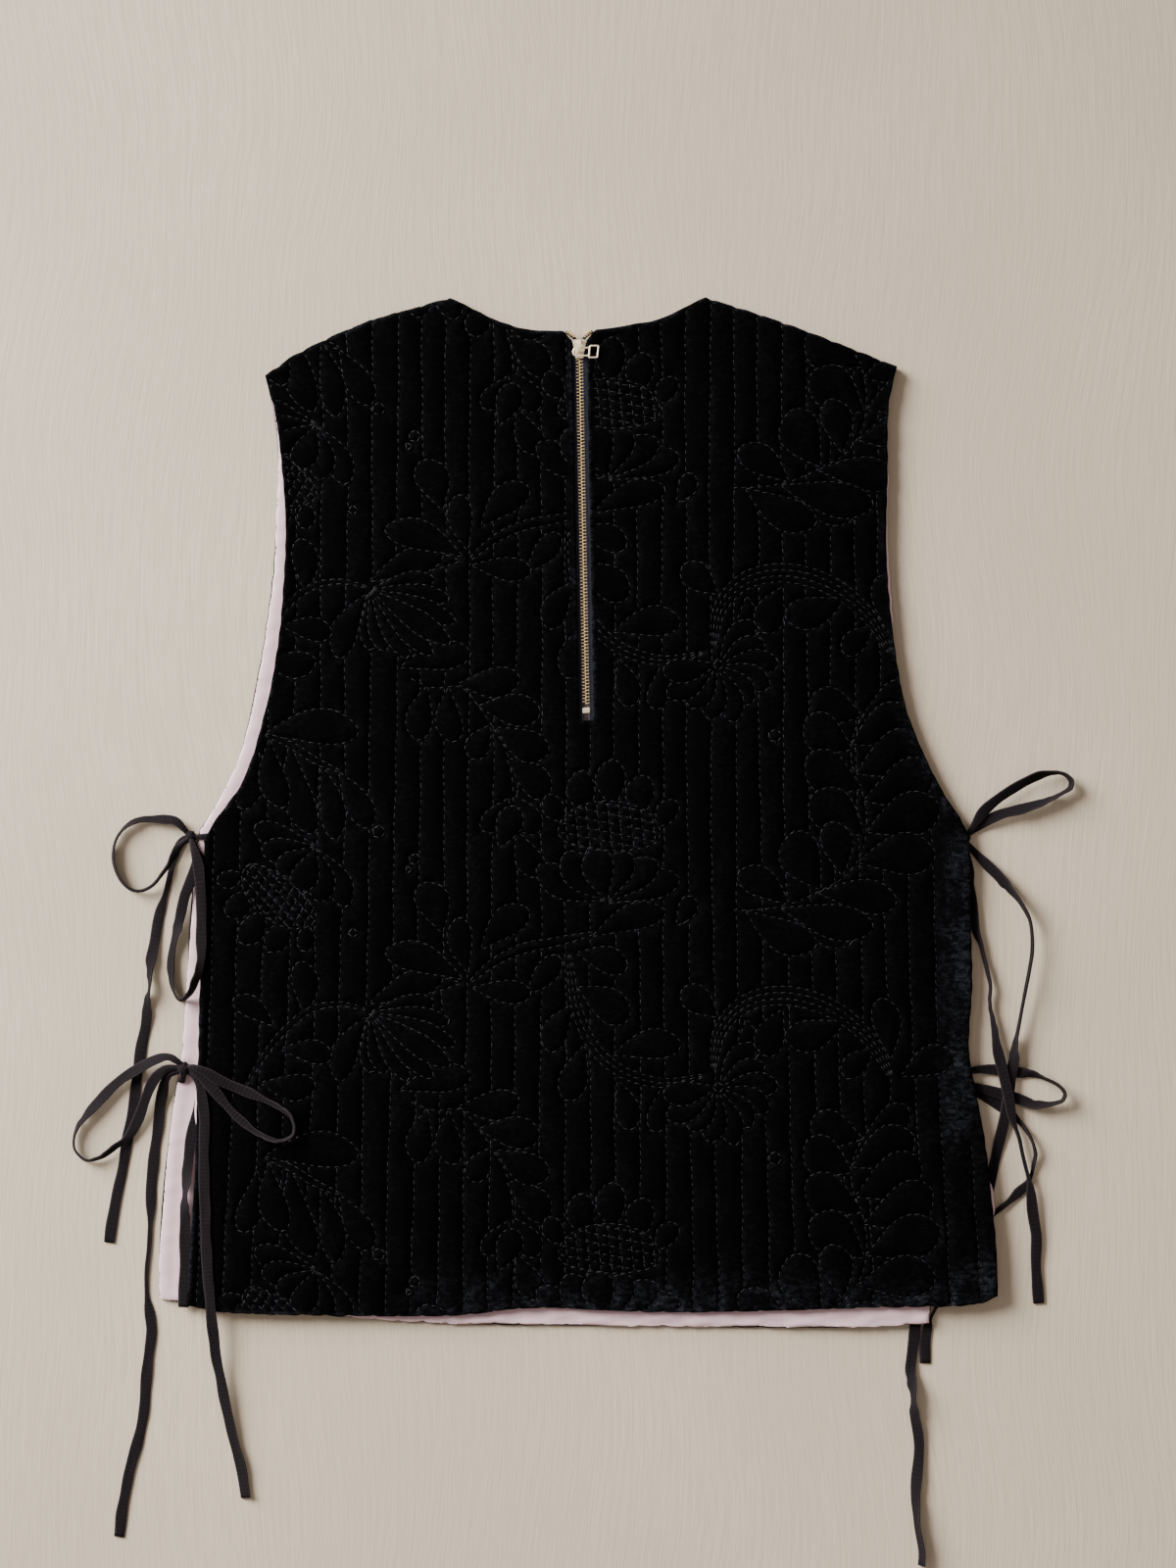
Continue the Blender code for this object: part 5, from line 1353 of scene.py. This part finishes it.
def build_lining(name, replaced, panel, top, lift, pucker):
    """Satin with soft puckers that run in from its edge."""

    def height(xy, distance, fold):
        x, y = xy[:, 0], xy[:, 1]
        # Puckers of three kinds: upright, level, and fine ones that lean
        wave = 0.4 * np.sin((x + 0.25 * y) / 2.9) * np.cos(y / 12.0 + x / 31.0)
        wave = wave + np.sin((y + 0.25 * x) / 2.5 + 1.1 * np.sin(x / 17.0 + y / 43.0))
        wave = wave + 0.5 * np.sin((y - 0.3 * x) / 1.5 + 0.8 * np.sin(y / 29.0))
        fade = np.exp(-(distance / 12.0) ** 2)
        rolls = ease((-150.0 - x) / 25.0)  # at the left side it rolls lengthwise instead
        wave = wave * (1 - 0.75 * rolls)
        sag = pucker * 0.5 * ease((distance - 4.0) / 13.0)
        sag = sag + pucker * 0.45 * rolls * np.exp(-((distance - 8.2) / 2.3) ** 2)
        down = np.clip(pucker * (0.52 - 0.55 * wave * fade) + sag, -0.1, LINING_SINKS)
        surface = top + lift(xy) - down
        return rolled(surface, top + lift(xy) - 1.1, distance, 3.4)

    def level(down):
        """A rim this far below the satin's top."""
        def at(xy, edge, fold):
            return top - down + lift(xy)
        return at

    low, high = panel.ring.min(axis=0), panel.ring.max(axis=0)
    xs, ys = np.meshgrid(*[np.arange(low[a], high[a], 5.0) for a in (0, 1)])
    field = np.stack([xs.ravel(), ys.ravel()], axis=1)
    bands = [panel.offset(d) for d in (0.6, 1.6, 3.2, 5.2, 7.4, 9.8, 12.4, 15.2, 18.2, 21.6, 25.4)]
    groups = [panel.ring, *[b[inside(b, panel.ring)] for b in bands], field[inside(field, panel.ring)]]
    gaps = [0.3, 0.4, 0.8, *[1.3] * 5, *[1.8] * 4, 2.8]
    points = spaced(groups, gaps)[len(panel.ring):]
    rims = ((0.3, level(0.95)), (3.0, level(0.98)))
    lining = cloth_piece(name, panel, points, height, rims, "satin", {})
    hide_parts(replaced)
    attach(lining, GARMENT)
    return lining


def build_linings():
    """The front's satin, and the back's, which is pressed flatter and shows only at its edge."""
    pucker = bpy.context.scene.waistcoat_sizes.pucker / MM
    front = LiningPanel(panels("front", 2.0), FRONT_LINING_EDGE, LINING_BELOW_SHOULDER)
    back = LiningPanel(panels("back", 2.0), BACK_LINING_EDGE, LINING_BELOW_SHOULDER, PEEPS)
    build_lining("front_satin", "front_lining", front, FRONT_LINING_TOP, corner_lift, pucker)
    build_lining("back_satin", "back_lining", back, BACK_LINING_TOP, back_lift, BACK_PUCKER)


# ---------------------------------------------------------------------------- zip


ROUND_FROM = 0.9  # edges that turn more than this are rounded, in radians
CHAIN_TOP, FIRST_TOOTH = -1.6, -0.75
TOOTH_IN = 1.15  # a tooth's own middle, from the chain's edge
OPEN_TEETH = 4  # at each side above the slider
SPLAY = 52.0  # of the chain's open ends, in degrees from the zip's line
SPLAY_AT = (4.9, 14.3)  # the middle of an open end
SPLAY_PITCH = 0.72  # its share of the closed chain's


def zip_matrix():
    """From the zip's frame to the garment's, in metres."""
    return Matrix.Translation(Vector((*ZIP_AT, 0)) * MM) @ Matrix.Rotation(math.radians(ZIP_TURN), 4, "Z")


def rounded_ring(low_x, high_x, half, radius, steps=5):
    """A rectangle from low_x to high_x, and half to each side, with rounded corners."""
    centres = (
        (high_x - radius, half - radius, 0), (low_x + radius, half - radius, 90),
        (low_x + radius, radius - half, 180), (high_x - radius, radius - half, 270),
    )
    return [
        (x + radius * math.cos(math.radians(start + 90 * k / steps)),
         y + radius * math.sin(math.radians(start + 90 * k / steps)))
        for x, y, start in centres for k in range(steps + 1)
    ]


def drawn_out(bm, outline, by, bevel, segments):
    """Adds a flat outline drawn out into a solid with rounded edges, in millimetres."""
    part = bmesh.new()
    face = part.faces.new([part.verts.new(point) for point in outline])
    drawn = bmesh.ops.extrude_face_region(part, geom=[face])
    moved = [v for v in drawn["geom"] if isinstance(v, bmesh.types.BMVert)]
    bmesh.ops.translate(part, verts=moved, vec=by)
    bmesh.ops.recalc_face_normals(part, faces=part.faces)
    if bevel:
        edges = [e for e in part.edges if len(e.link_faces) == 2 and e.calc_face_angle() > ROUND_FROM]
        bmesh.ops.bevel(part, geom=edges, offset=bevel, segments=segments, affect="EDGES")
    add_part(bm, part)


def plate(bm, outline, low, high, bevel=0.0):
    """Adds an outline raised from low to high."""
    drawn_out(bm, [(x, y, low) for x, y in outline], (0, 0, high - low), bevel, 3)


def add_part(bm, part, matrix=None):
    """Moves a part's mesh into another, through the matrix."""
    mesh = bpy.data.meshes.new("part")
    part.to_mesh(mesh)
    part.free()
    if matrix:
        mesh.transform(matrix)
    bm.from_mesh(mesh)
    bpy.data.meshes.remove(mesh)


def zip_object(bm, name, material_name, matrix=None, sharp=40.0):
    """An object from a mesh in the zip's frame and millimetres."""
    mesh = bpy.data.meshes.new(name)
    bmesh.ops.recalc_face_normals(bm, faces=bm.faces)
    bm.to_mesh(mesh)
    bm.free()
    mesh.transform((matrix or zip_matrix()) @ Matrix.Scale(MM, 4))
    mesh.shade_smooth()
    mesh.set_sharp_from_angle(angle=math.radians(sharp))
    made = bpy.data.objects.new(name, mesh)
    bpy.context.scene.collection.objects.link(made)
    mesh.materials.append(material(material_name))
    return made


def tooth(bm, x, y, turn, side):
    """One tooth: clamped wide on the tape, with a narrower nose that reaches past the middle.

    It stands at x, y, turned in degrees, on one side of the chain.
    """
    outline = (
        (-1.1, -0.33), (-0.3, -0.39), (0.35, -0.33), (0.65, -0.32), (1.1, -0.40), (1.55, -0.34),
        (1.55, 0.34), (1.1, 0.40), (0.65, 0.32), (0.35, 0.33), (-0.3, 0.39), (-1.1, 0.33),
    )
    part = bmesh.new()
    rings = []
    for z, small in ((-1.0, 0.7), (-0.7, 1.0), (0.45, 1.0), (0.85, 0.82), (1.08, 0.45)):
        rings.append([part.verts.new((px * (0.5 + 0.5 * small), py * small, z)) for px, py in outline])
    for low, high in zip(rings, rings[1:]):
        for i in range(len(low)):
            j = (i + 1) % len(low)
            part.faces.new((low[i], low[j], high[j], high[i]))
    part.faces.new(rings[-1])
    part.faces.new(rings[0][::-1])
    turned_tooth = Matrix.Rotation(math.radians(turn), 4, "Z")
    if side > 0:
        turned_tooth = turned_tooth @ Matrix.Rotation(math.pi, 4, "Z")
    add_part(bm, part, Matrix.Translation((x, y, ZIP_Z)) @ turned_tooth)


def build_chain():
    """Every tooth of the closed chain and of its two open ends, and the stop below it."""
    sizes = bpy.context.scene.waistcoat_zip
    pitch, half = sizes.tooth_pitch / MM, sizes.chain_width / MM / 2
    chain = bmesh.new()
    for k in range(int((CHAIN_TOP - CHAIN_BOTTOM) / pitch)):
        for side, shift in ((-1, 0.0), (1, 0.5)):
            tooth(chain, side * (half - TOOTH_IN), FIRST_TOOTH - (k + shift) * pitch, 0.0, side)
    made = zip_object(chain, "zip_teeth", "tooth_gold")
    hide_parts("zip_chain")
    for side, name in ((-1, "left"), (1, "right")):
        end = bmesh.new()
        for k in range(OPEN_TEETH):
            along = (k - (OPEN_TEETH - 1) / 2) * pitch * SPLAY_PITCH
            angle = math.radians(SPLAY)
            x = side * (SPLAY_AT[0] + along * math.sin(angle))
            tooth(end, x, SPLAY_AT[1] + along * math.cos(angle), -side * SPLAY, side)
        splayed = zip_object(end, "zip_teeth_open_" + name, "tooth_gold")
        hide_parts("zip_chain_end_" + name)
        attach(splayed, GARMENT)
    stop = bmesh.new()
    top = CHAIN_BOTTOM - 0.3
    plate(stop, rounded_ring(top - 3.2, top, 2.2, 0.7), ZIP_Z - 1.25, ZIP_Z + 1.25, 0.4)
    stop.transform(Matrix.Rotation(math.pi / 2, 4, "Z"))
    stopped = zip_object(stop, "zip_bottom_stop", "gold")
    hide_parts("zip_stop")
    for piece in (made, stopped):
        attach(piece, GARMENT)


def build_slider():
    """Two shield-shaped plates joined at the top, with a narrow arched crown along the middle."""
    slider = bmesh.new()
    shield = [
        (2.35, 0.0), (2.5, 2.6), (3.2, 5.4), (3.7, 7.6), (3.65, 9.4), (2.9, 10.8), (1.7, 11.0),
        (0.8, 10.2), (-0.8, 10.2), (-1.7, 11.0), (-2.9, 10.8), (-3.65, 9.4), (-3.7, 7.6),
        (-3.2, 5.4), (-2.5, 2.6), (-2.35, 0.0),
    ]
    plate(slider, shield, ZIP_Z + 1.15, ZIP_Z + 1.75, 0.25)
    plate(slider, shield, ZIP_Z - 1.75, ZIP_Z - 1.15, 0.25)
    wedge = [(1.0, 6.6), (1.9, 9.6), (0.0, 10.6), (-1.9, 9.6), (-1.0, 6.6)]
    plate(slider, wedge, ZIP_Z - 1.3, ZIP_Z + 1.3)
    top = ZIP_Z + 1.7
    profile = [
        (2.9, top - 0.3), (2.9, 9.4), (3.3, 10.3), (4.3, 10.75), (7.0, 10.8), (9.3, 10.45),
        (10.6, 9.2), (10.95, top - 0.3), (9.6, top - 0.3), (9.3, 8.9), (8.4, 9.9), (6.6, 10.02),
        (5.0, 10.0), (4.4, 9.6), (4.2, top - 0.3),
    ]
    drawn_out(slider, [(-1.1, y, z) for y, z in profile], (2.2, 0, 0), 0.22, 2)
    made = zip_object(slider, "zip_slider_body", "gold")
    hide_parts("zip_slider")
    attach(made, GARMENT)


def wire_loop(bm, outline, wire, lean):
    """A round wire bent along an outline at height 0, which leans to +X with its y."""
    points = [Vector((x + lean * y, y, 0)) for x, y in outline]
    count, sides = len(points), 8
    rings = []
    for i, p in enumerate(points):
        way = (points[(i + 1) % count] - points[i - 1]).normalized()
        side = Vector((-way.y, way.x, 0))
        rings.append([
            bm.verts.new(p + (side * math.cos(a) + Vector((0, 0, 1)) * math.sin(a)) * wire / 2)
            for a in (math.tau * k / sides for k in range(sides))
        ])
    for i in range(count):
        a, b = rings[i], rings[(i + 1) % count]
        for k in range(sides):
            m = (k + 1) % sides
            bm.faces.new((a[k], b[k], b[m], a[m]))


def build_pull():
    """A wire pull: a rounded cell round the crown's lower leg, and a squarer, wider cell beyond."""
    wire = bpy.context.scene.waistcoat_zip.pull_wire / MM
    pull = bmesh.new()
    near = [p for p in rounded_ring(-4.2 + wire / 2, 2.0, 2.8 - wire / 2, 2.2, 8) if p[0] < 0]
    far = [p for p in rounded_ring(-1.0, 6.3 - wire / 2, 2.8 - wire / 2, 0.7) if p[0] > 0]
    wire_loop(pull, [p for p in far if p[1] > 0] + near + [p for p in far if p[1] < 0], wire, 0.04)
    wire_loop(pull, rounded_ring(5.3 + wire / 2, 11.3 - wire / 2, 3.9 - wire / 2, 0.6), wire, 0.12)
    pivot = zip_matrix() @ Matrix.Translation(Vector((0, PIVOT_Y, PULL_Z)) * MM)
    made = zip_object(pull, "zip_pull_wire", "gold", pivot, 80.0)
    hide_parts("zip_pull")
    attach(made, PULL)


TAPE_PROFILE = (  # from the zip's middle outwards along the top, and back below: x and height
    (TAPE_FROM, 0.0), (TAPE_FROM + 0.1, 0.55), (TAPE_FROM + 0.8, 0.72), (TAPE_FROM + 1.7, 0.5),
    (TAPE_FROM + 2.4, 0.34), (TAPE_FROM + 5.0, 0.32), (TAPE_TO, 0.30), (TAPE_TO, -0.30),
    (TAPE_FROM + 2.4, -0.34), (TAPE_FROM + 0.8, -0.72), (TAPE_FROM + 0.1, -0.55),
)
# How the tape's edge lies above the slider, and the share of its height by which it moves aside
TAPE_FLAP = ((1.7, 9.2), (3.1, 11.0), (8.4, 15.2), (7.4, 16.6), (1.9, 12.2), (0.9, 10.6))
TAPE_OPENS = 0.30
TAPE_ROWS = 150


def build_zip_tapes():
    """Two woven tapes, each with a corded edge under the teeth."""
    n = len(TAPE_PROFILE)
    for side, name in ((-1, "left"), (1, "right")):
        verts, weave = [], []
        for j in range(TAPE_ROWS + 1):
            y = TAPE_BOTTOM + (TAPE_TOP - TAPE_BOTTOM) * j / TAPE_ROWS
            shift = max(y, 0.0) * TAPE_OPENS
            for x, z in TAPE_PROFILE:
                ripple = 0.06 * math.sin(y / 2.1 + x)
                verts.append((*zip_point(side * min(x + shift, TAPE_TO), y), ZIP_Z + z + ripple * (z > 0)))
                weave.append(((x - TAPE_FROM) * MM, y * MM, z * MM))
        top = TAPE_ROWS * n
        faces = [*tube_faces(TAPE_ROWS, n), tuple(range(n))[::-1], tuple(range(top, top + n))]
        # Above the slider the tape's edge follows the open teeth
        start = len(verts)
        for x, y in TAPE_FLAP:
            for z in (ZIP_Z - 0.9, ZIP_Z - 0.4):
                verts.append((*zip_point(side * x, y), z))
                weave.append((0.003, y * MM, x * MM))
        lows = range(start, len(verts), 2)
        for a, b in zip(lows, [*lows[1:], start]):
            faces.append((a + 1, b + 1, b, a))
        faces += [tuple(a + 1 for a in lows[::-1]), tuple(lows)]
        if side > 0:
            faces = [face[::-1] for face in faces]
        tape = mesh_object("zip_tape_woven_" + name, verts, faces, "zip_cloth", {"weave": weave})
        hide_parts("zip_tape_" + name)
        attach(tape, GARMENT)


# ---------------------------------------------------------------------------- ties and knots

GATHER, GATHER_RUN = 0.45, 22.0  # the share of its width that a tie has at its knot, and how far on
SEWN = {"tie_upper_left_1": 4.0, "tie_lower_left_1": -3.0}  # how far each stem goes on
FOLDED = {  # where a tie is folded along itself: x, y, radius, share of its width
    "tie_upper_left_1": (
        (-262.0, -5.0, 22.0, 0.66), (-248.0, -38.0, 20.0, 0.50), (-251.0, -101.0, 16.0, 0.70)),
    "tie_upper_left_2": ((-232.0, -88.0, 20.0, 0.78),),
    "tie_lower_left_1": ((-282.0, -199.0, 30.0, 0.62), (-251.0, -262.0, 34.0, 0.42)),
    "tie_lower_left_2": ((-170.0, -182.0, 30.0, 0.50), (-197.0, -181.0, 20.0, 0.78)),
    "tie_upper_right_1": (
        (262.0, -95.0, 50.0, 0.40), (285.0, 20.0, 15.0, 0.75), (210.5, -288.5, 14.0, 0.24)),
    "tie_upper_right_2": (
        (262.0, -95.0, 50.0, 0.40), (266.0, -197.0, 27.0, 0.36), (241.0, -237.0, 24.0, 0.50)),
    "tie_lower_right_1": (
        (266.0, -197.0, 27.0, 0.36), (241.0, -237.0, 24.0, 0.50), (280.0, -161.0, 16.0, 0.72)),
}


def folded(name, at):
    """The share of its width that a tie has here."""
    share = 1.0
    for x, y, radius, least in FOLDED.get(name, ()):
        away = math.hypot(at.x - x, at.y - y)
        share = min(share, 1 - (1 - least) * float(ease((radius - away) / (0.45 * radius))))
    return share


MOST_ROLL = 74.0  # a tie that stands on its edge still leans a little
TIE_STEP = 1.4


def tie_frame(curve, t, knot):
    """Place in millimetres, side and up of a tie at t, and how free it is of its knot."""
    at = curve(t)
    tangent = (curve(min(t + 0.001, 1)).xyz - curve(max(t - 0.001, 0)).xyz).normalized()
    flat = tangent.cross(Vector((0, 0, 1))).normalized()
    side = Matrix.Rotation(math.radians(min(at.w, MOST_ROLL)), 3, tangent) @ flat
    near = float(ease((at.xyz - Vector(knot[:3])).length / GATHER_RUN))
    return at.xyz, side, side.cross(tangent), near


def build_tie(name, knot_name, stretches, route):
    """One length of cotton tape: a flat tube with soft edges, gathered where it enters its knot."""
    sizes = bpy.context.scene.waistcoat_ties
    width, thick = sizes.width / MM, sizes.thickness / MM
    if name in SEWN:  # sewn in: it goes on below the edge of the cloth
        sewn = Vector(route[0]) + (Vector(route[0]) - Vector(route[1])).normalized() * SEWN[name]
        route = (tuple(sewn), *route[1:])
    curve, _ = spline(route)
    knot = KNOTS[knot_name]
    long = sum((Vector(b).xyz - Vector(a).xyz).length for a, b in zip(route, route[1:]))
    steps = round(long / TIE_STEP)
    # Its section across, as shares of its half width and half thickness
    ups = (0.0, 0.75, 1.0, 0.92, 1.0, 0.92, 1.0, 0.75)
    outs = (-1.0, -0.97, -0.86, -0.45, 0.0, 0.45, 0.86, 0.97)
    top = list(zip(outs, ups))
    profile = [*top, (1.0, 0.0), *[(x, -z) for x, z in reversed(top[1:])]]
    verts, weave, path = [], [], []
    for j in range(steps + 1):
        t = j / steps
        at, side, up, near = tie_frame(curve, t, knot)
        run = t * long
        share = folded(name, at)
        # Handled tape isn't even: its width, line and flatness change a little along it
        crumple = 1 + 0.05 * math.sin(run / 5.3 + long) + 0.04 * math.sin(run / 2.7 + 2.0)
        half = width / 2 * (GATHER + (1 - GATHER) * near) * share * crumple
        deep = thick * (1 + 0.9 * (1 - share))
        at = at + side * (0.22 * math.sin(run / 7.9 + long) + 0.10 * math.sin(run / 3.1))
        curl = 0.16 * math.sin(run / 9.0 + 1.3) + 0.10 * math.sin(run / 3.7)
        fold = (1 - near) * 0.5
        for x, z in profile:
            lift = z * deep / 2 + curl * (x * x - 0.4) + fold * math.cos(x * 2.6)
            p = at + side * half * x + up * lift
            verts.append((p.x, p.y, max(p.z, 0.05)))
            weave.append(((1 - abs(x)) * half * MM, t * long * MM, 0.0))
        path.append(tuple(at * MM))
    n = len(profile)
    faces = [*tube_faces(steps, n), tuple(range(n))[::-1], tuple(range(steps * n, steps * n + n))]
    tie = mesh_object(name, verts, faces, "tape", {"weave": weave})
    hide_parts(*[f"{name}_{stretch}" for stretch in stretches])
    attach(tie, GARMENT)
    return tie, path, sum((Vector(b) - Vector(a)).length for a, b in zip(path, path[1:]))


def build_knot(name):
    """A tight knot: a band of the tape pulled over folded tape, creased where it pinches in."""
    x, y, z, rx, ry, rz, way = KNOTS[name]
    verts, weave = [], []
    rows, around = 28, 40
    turn = math.radians(way)
    for j in range(rows + 1):
        v = math.pi * j / rows
        for i in range(around):
            u = math.tau * i / around
            p = Vector((math.sin(v) * math.cos(u), math.sin(v) * math.sin(u), math.cos(v)))
            along = p.x * math.cos(turn) + p.y * math.sin(turn)
            across = -p.x * math.sin(turn) + p.y * math.cos(turn)
            band = math.exp(-(along / 0.42) ** 4)  # the wrap, over the middle
            crease = 0.05 * math.sin(9 * across + 2.0 * along) * (1 - band)
            ridge = 0.035 * math.sin(7 * along) * band
            size = 0.86 + 0.16 * band + crease + ridge
            verts.append((x + p.x * rx * size, y + p.y * ry * size, max(z + p.z * rz * size, 0.05)))
            weave.append((0.003 * (1 - abs(along)) * band + 0.0015, across * 0.004, 0.0))
    faces = [(a, d, c, b) for a, b, c, d in tube_faces(rows, around)]
    made = mesh_object(name + "_wrapped", verts, faces, "tape", {"weave": weave})
    bm = bmesh.new()
    bm.from_mesh(made.data)
    bmesh.ops.remove_doubles(bm, verts=bm.verts, dist=1e-6)
    bm.to_mesh(made.data)
    bm.free()
    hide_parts(name)
    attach(made, GARMENT)
    return made


# ---------------------------------------------------------------------------- stage


FLOOR_HALF = 3.0  # metres, as below
ROOM_COLOUR, ROOM_LIGHT = "#fff0e2", 0.37
WINDOW_AT, WINDOW_AIM = (-2.20, 1.30, 1.10), (-0.40, -0.05, 0.0)
WINDOW_SPREAD = 65.0  # degrees: a deep reveal keeps the light to one side
WINDOW_COLOUR = (1.0, 0.975, 0.94)  # linear
CAMERA_X, CAMERA_Y = 0.0060, 0.0168
SENSOR = 36.0  # mm
FAR = 20.0


def build_stage():
    """The floor, the room's soft light, one window's light and the camera straight above."""
    stage = bpy.context.scene.waistcoat_stage
    bm = bmesh.new()
    bmesh.ops.create_grid(bm, x_segments=2, y_segments=2, size=FLOOR_HALF)
    mesh = bpy.data.meshes.new("floor")
    bm.to_mesh(mesh)
    bm.free()
    floor = bpy.data.objects.new("floor", mesh)
    bpy.context.scene.collection.objects.link(floor)
    mesh.materials.append(material("floor"))

    world = bpy.data.worlds.new("soft_room")
    world.use_nodes = True
    background = world.node_tree.nodes["Background"]
    background.inputs["Color"].default_value = linear(ROOM_COLOUR)
    background.inputs["Strength"].default_value = ROOM_LIGHT
    bpy.context.scene.world = world

    lamp = bpy.data.lights.new("window", "AREA")
    lamp.shape, lamp.size, lamp.energy = "DISK", stage.lamp_size, stage.lamp_power
    lamp.spread, lamp.color = math.radians(WINDOW_SPREAD), WINDOW_COLOUR
    made = bpy.data.objects.new("window", lamp)
    made.location = WINDOW_AT
    way = Vector(WINDOW_AIM) - Vector(WINDOW_AT)
    made.rotation_euler = way.to_track_quat("-Z", "Y").to_euler()
    bpy.context.scene.collection.objects.link(made)

    camera = bpy.data.cameras.new("camera")
    camera.lens, camera.sensor_width = stage.lens, SENSOR
    camera.clip_end = FAR
    made = bpy.data.objects.new("camera", camera)
    made.location = (CAMERA_X, CAMERA_Y, stage.camera_height)
    bpy.context.scene.collection.objects.link(made)
    bpy.context.scene.camera = made


# ---------------------------------------------------------------------------- operators and panel


class WAISTCOAT_OT_stage(bpy.types.Operator):
    """Lay the pale floor, let in the window's light and set the camera"""
    bl_idname = "waistcoat.stage"
    bl_label = "Stage"

    def execute(self, context):
        build_stage()
        return {"FINISHED"}


class WAISTCOAT_OT_front_shell(bpy.types.Operator):
    """Lay the front shell, velvet side down"""
    bl_idname = "waistcoat.front_shell"
    bl_label = "Front shell"

    def execute(self, context):
        build_front_shell()
        return {"FINISHED"}


class WAISTCOAT_OT_linings(bpy.types.Operator):
    """Lay both satin linings"""
    bl_idname = "waistcoat.linings"
    bl_label = "Linings"

    def execute(self, context):
        build_linings()
        return {"FINISHED"}


class WAISTCOAT_OT_back_shell(bpy.types.Operator):
    """Quilt the back shell and lay it on top"""
    bl_idname = "waistcoat.back_shell"
    bl_label = "Back shell and its quilting"

    def execute(self, context):
        build_back_shell()
        return {"FINISHED"}


class WAISTCOAT_OT_zip(bpy.types.Operator):
    """Set the zip's tapes, teeth, slider and pull"""
    bl_idname = "waistcoat.zip"
    bl_label = "Zip"

    def execute(self, context):
        build_zip_tapes()
        build_chain()
        build_slider()
        build_pull()
        return {"FINISHED"}


class WAISTCOAT_OT_ties(bpy.types.Operator):
    """Tie the eight cotton tapes in their knots"""
    bl_idname = "waistcoat.ties"
    bl_label = "Ties and knots"

    def execute(self, context):
        knots = {name: build_knot(name) for name in KNOTS}
        for name, (knot, stretches, route) in TIES.items():
            tie, path, length = build_tie(name, knot, stretches, route)
            on_it = [knots.pop(knot)] if knot in knots else []
        return {"FINISHED"}


class WAISTCOAT_OT_sheets(bpy.types.Operator):
    """Does nothing"""
    bl_idname = "waistcoat.sheets"
    bl_label = "Cloth cuts"

    def execute(self, context):
        return {"FINISHED"}


OPERATORS = (
    WAISTCOAT_OT_stage, WAISTCOAT_OT_front_shell, WAISTCOAT_OT_linings, WAISTCOAT_OT_back_shell,
    WAISTCOAT_OT_zip, WAISTCOAT_OT_ties, WAISTCOAT_OT_sheets,
)


class WAISTCOAT_PT_panel(bpy.types.Panel):
    """The waistcoat's sizes, colours and pieces"""
    bl_label = "Waistcoat"
    bl_idname = "WAISTCOAT_PT_panel"
    bl_space_type = "VIEW_3D"
    bl_region_type = "UI"
    bl_category = "Waistcoat"

    def draw(self, context):
        for name in SETTINGS:
            box = self.layout.box()
            group = getattr(context.scene, name)
            for key in group.__annotations__:
                box.prop(group, key)
        for operator in OPERATORS:
            self.layout.operator(operator.bl_idname)


CLASSES = (*SETTINGS.values(), *OPERATORS, WAISTCOAT_PT_panel)


def register():
    for cls in CLASSES:
        bpy.utils.register_class(cls)
    for name, cls in SETTINGS.items():
        setattr(bpy.types.Scene, name, PointerProperty(type=cls))


def unregister():
    for name in SETTINGS:
        delattr(bpy.types.Scene, name)
    for cls in reversed(CLASSES):
        bpy.utils.unregister_class(cls)


def main():
    register()
    for operator in OPERATORS:
        group, name = operator.bl_idname.split(".")
        getattr(getattr(bpy.ops, group), name)()


if __name__ == "__main__":
    main()
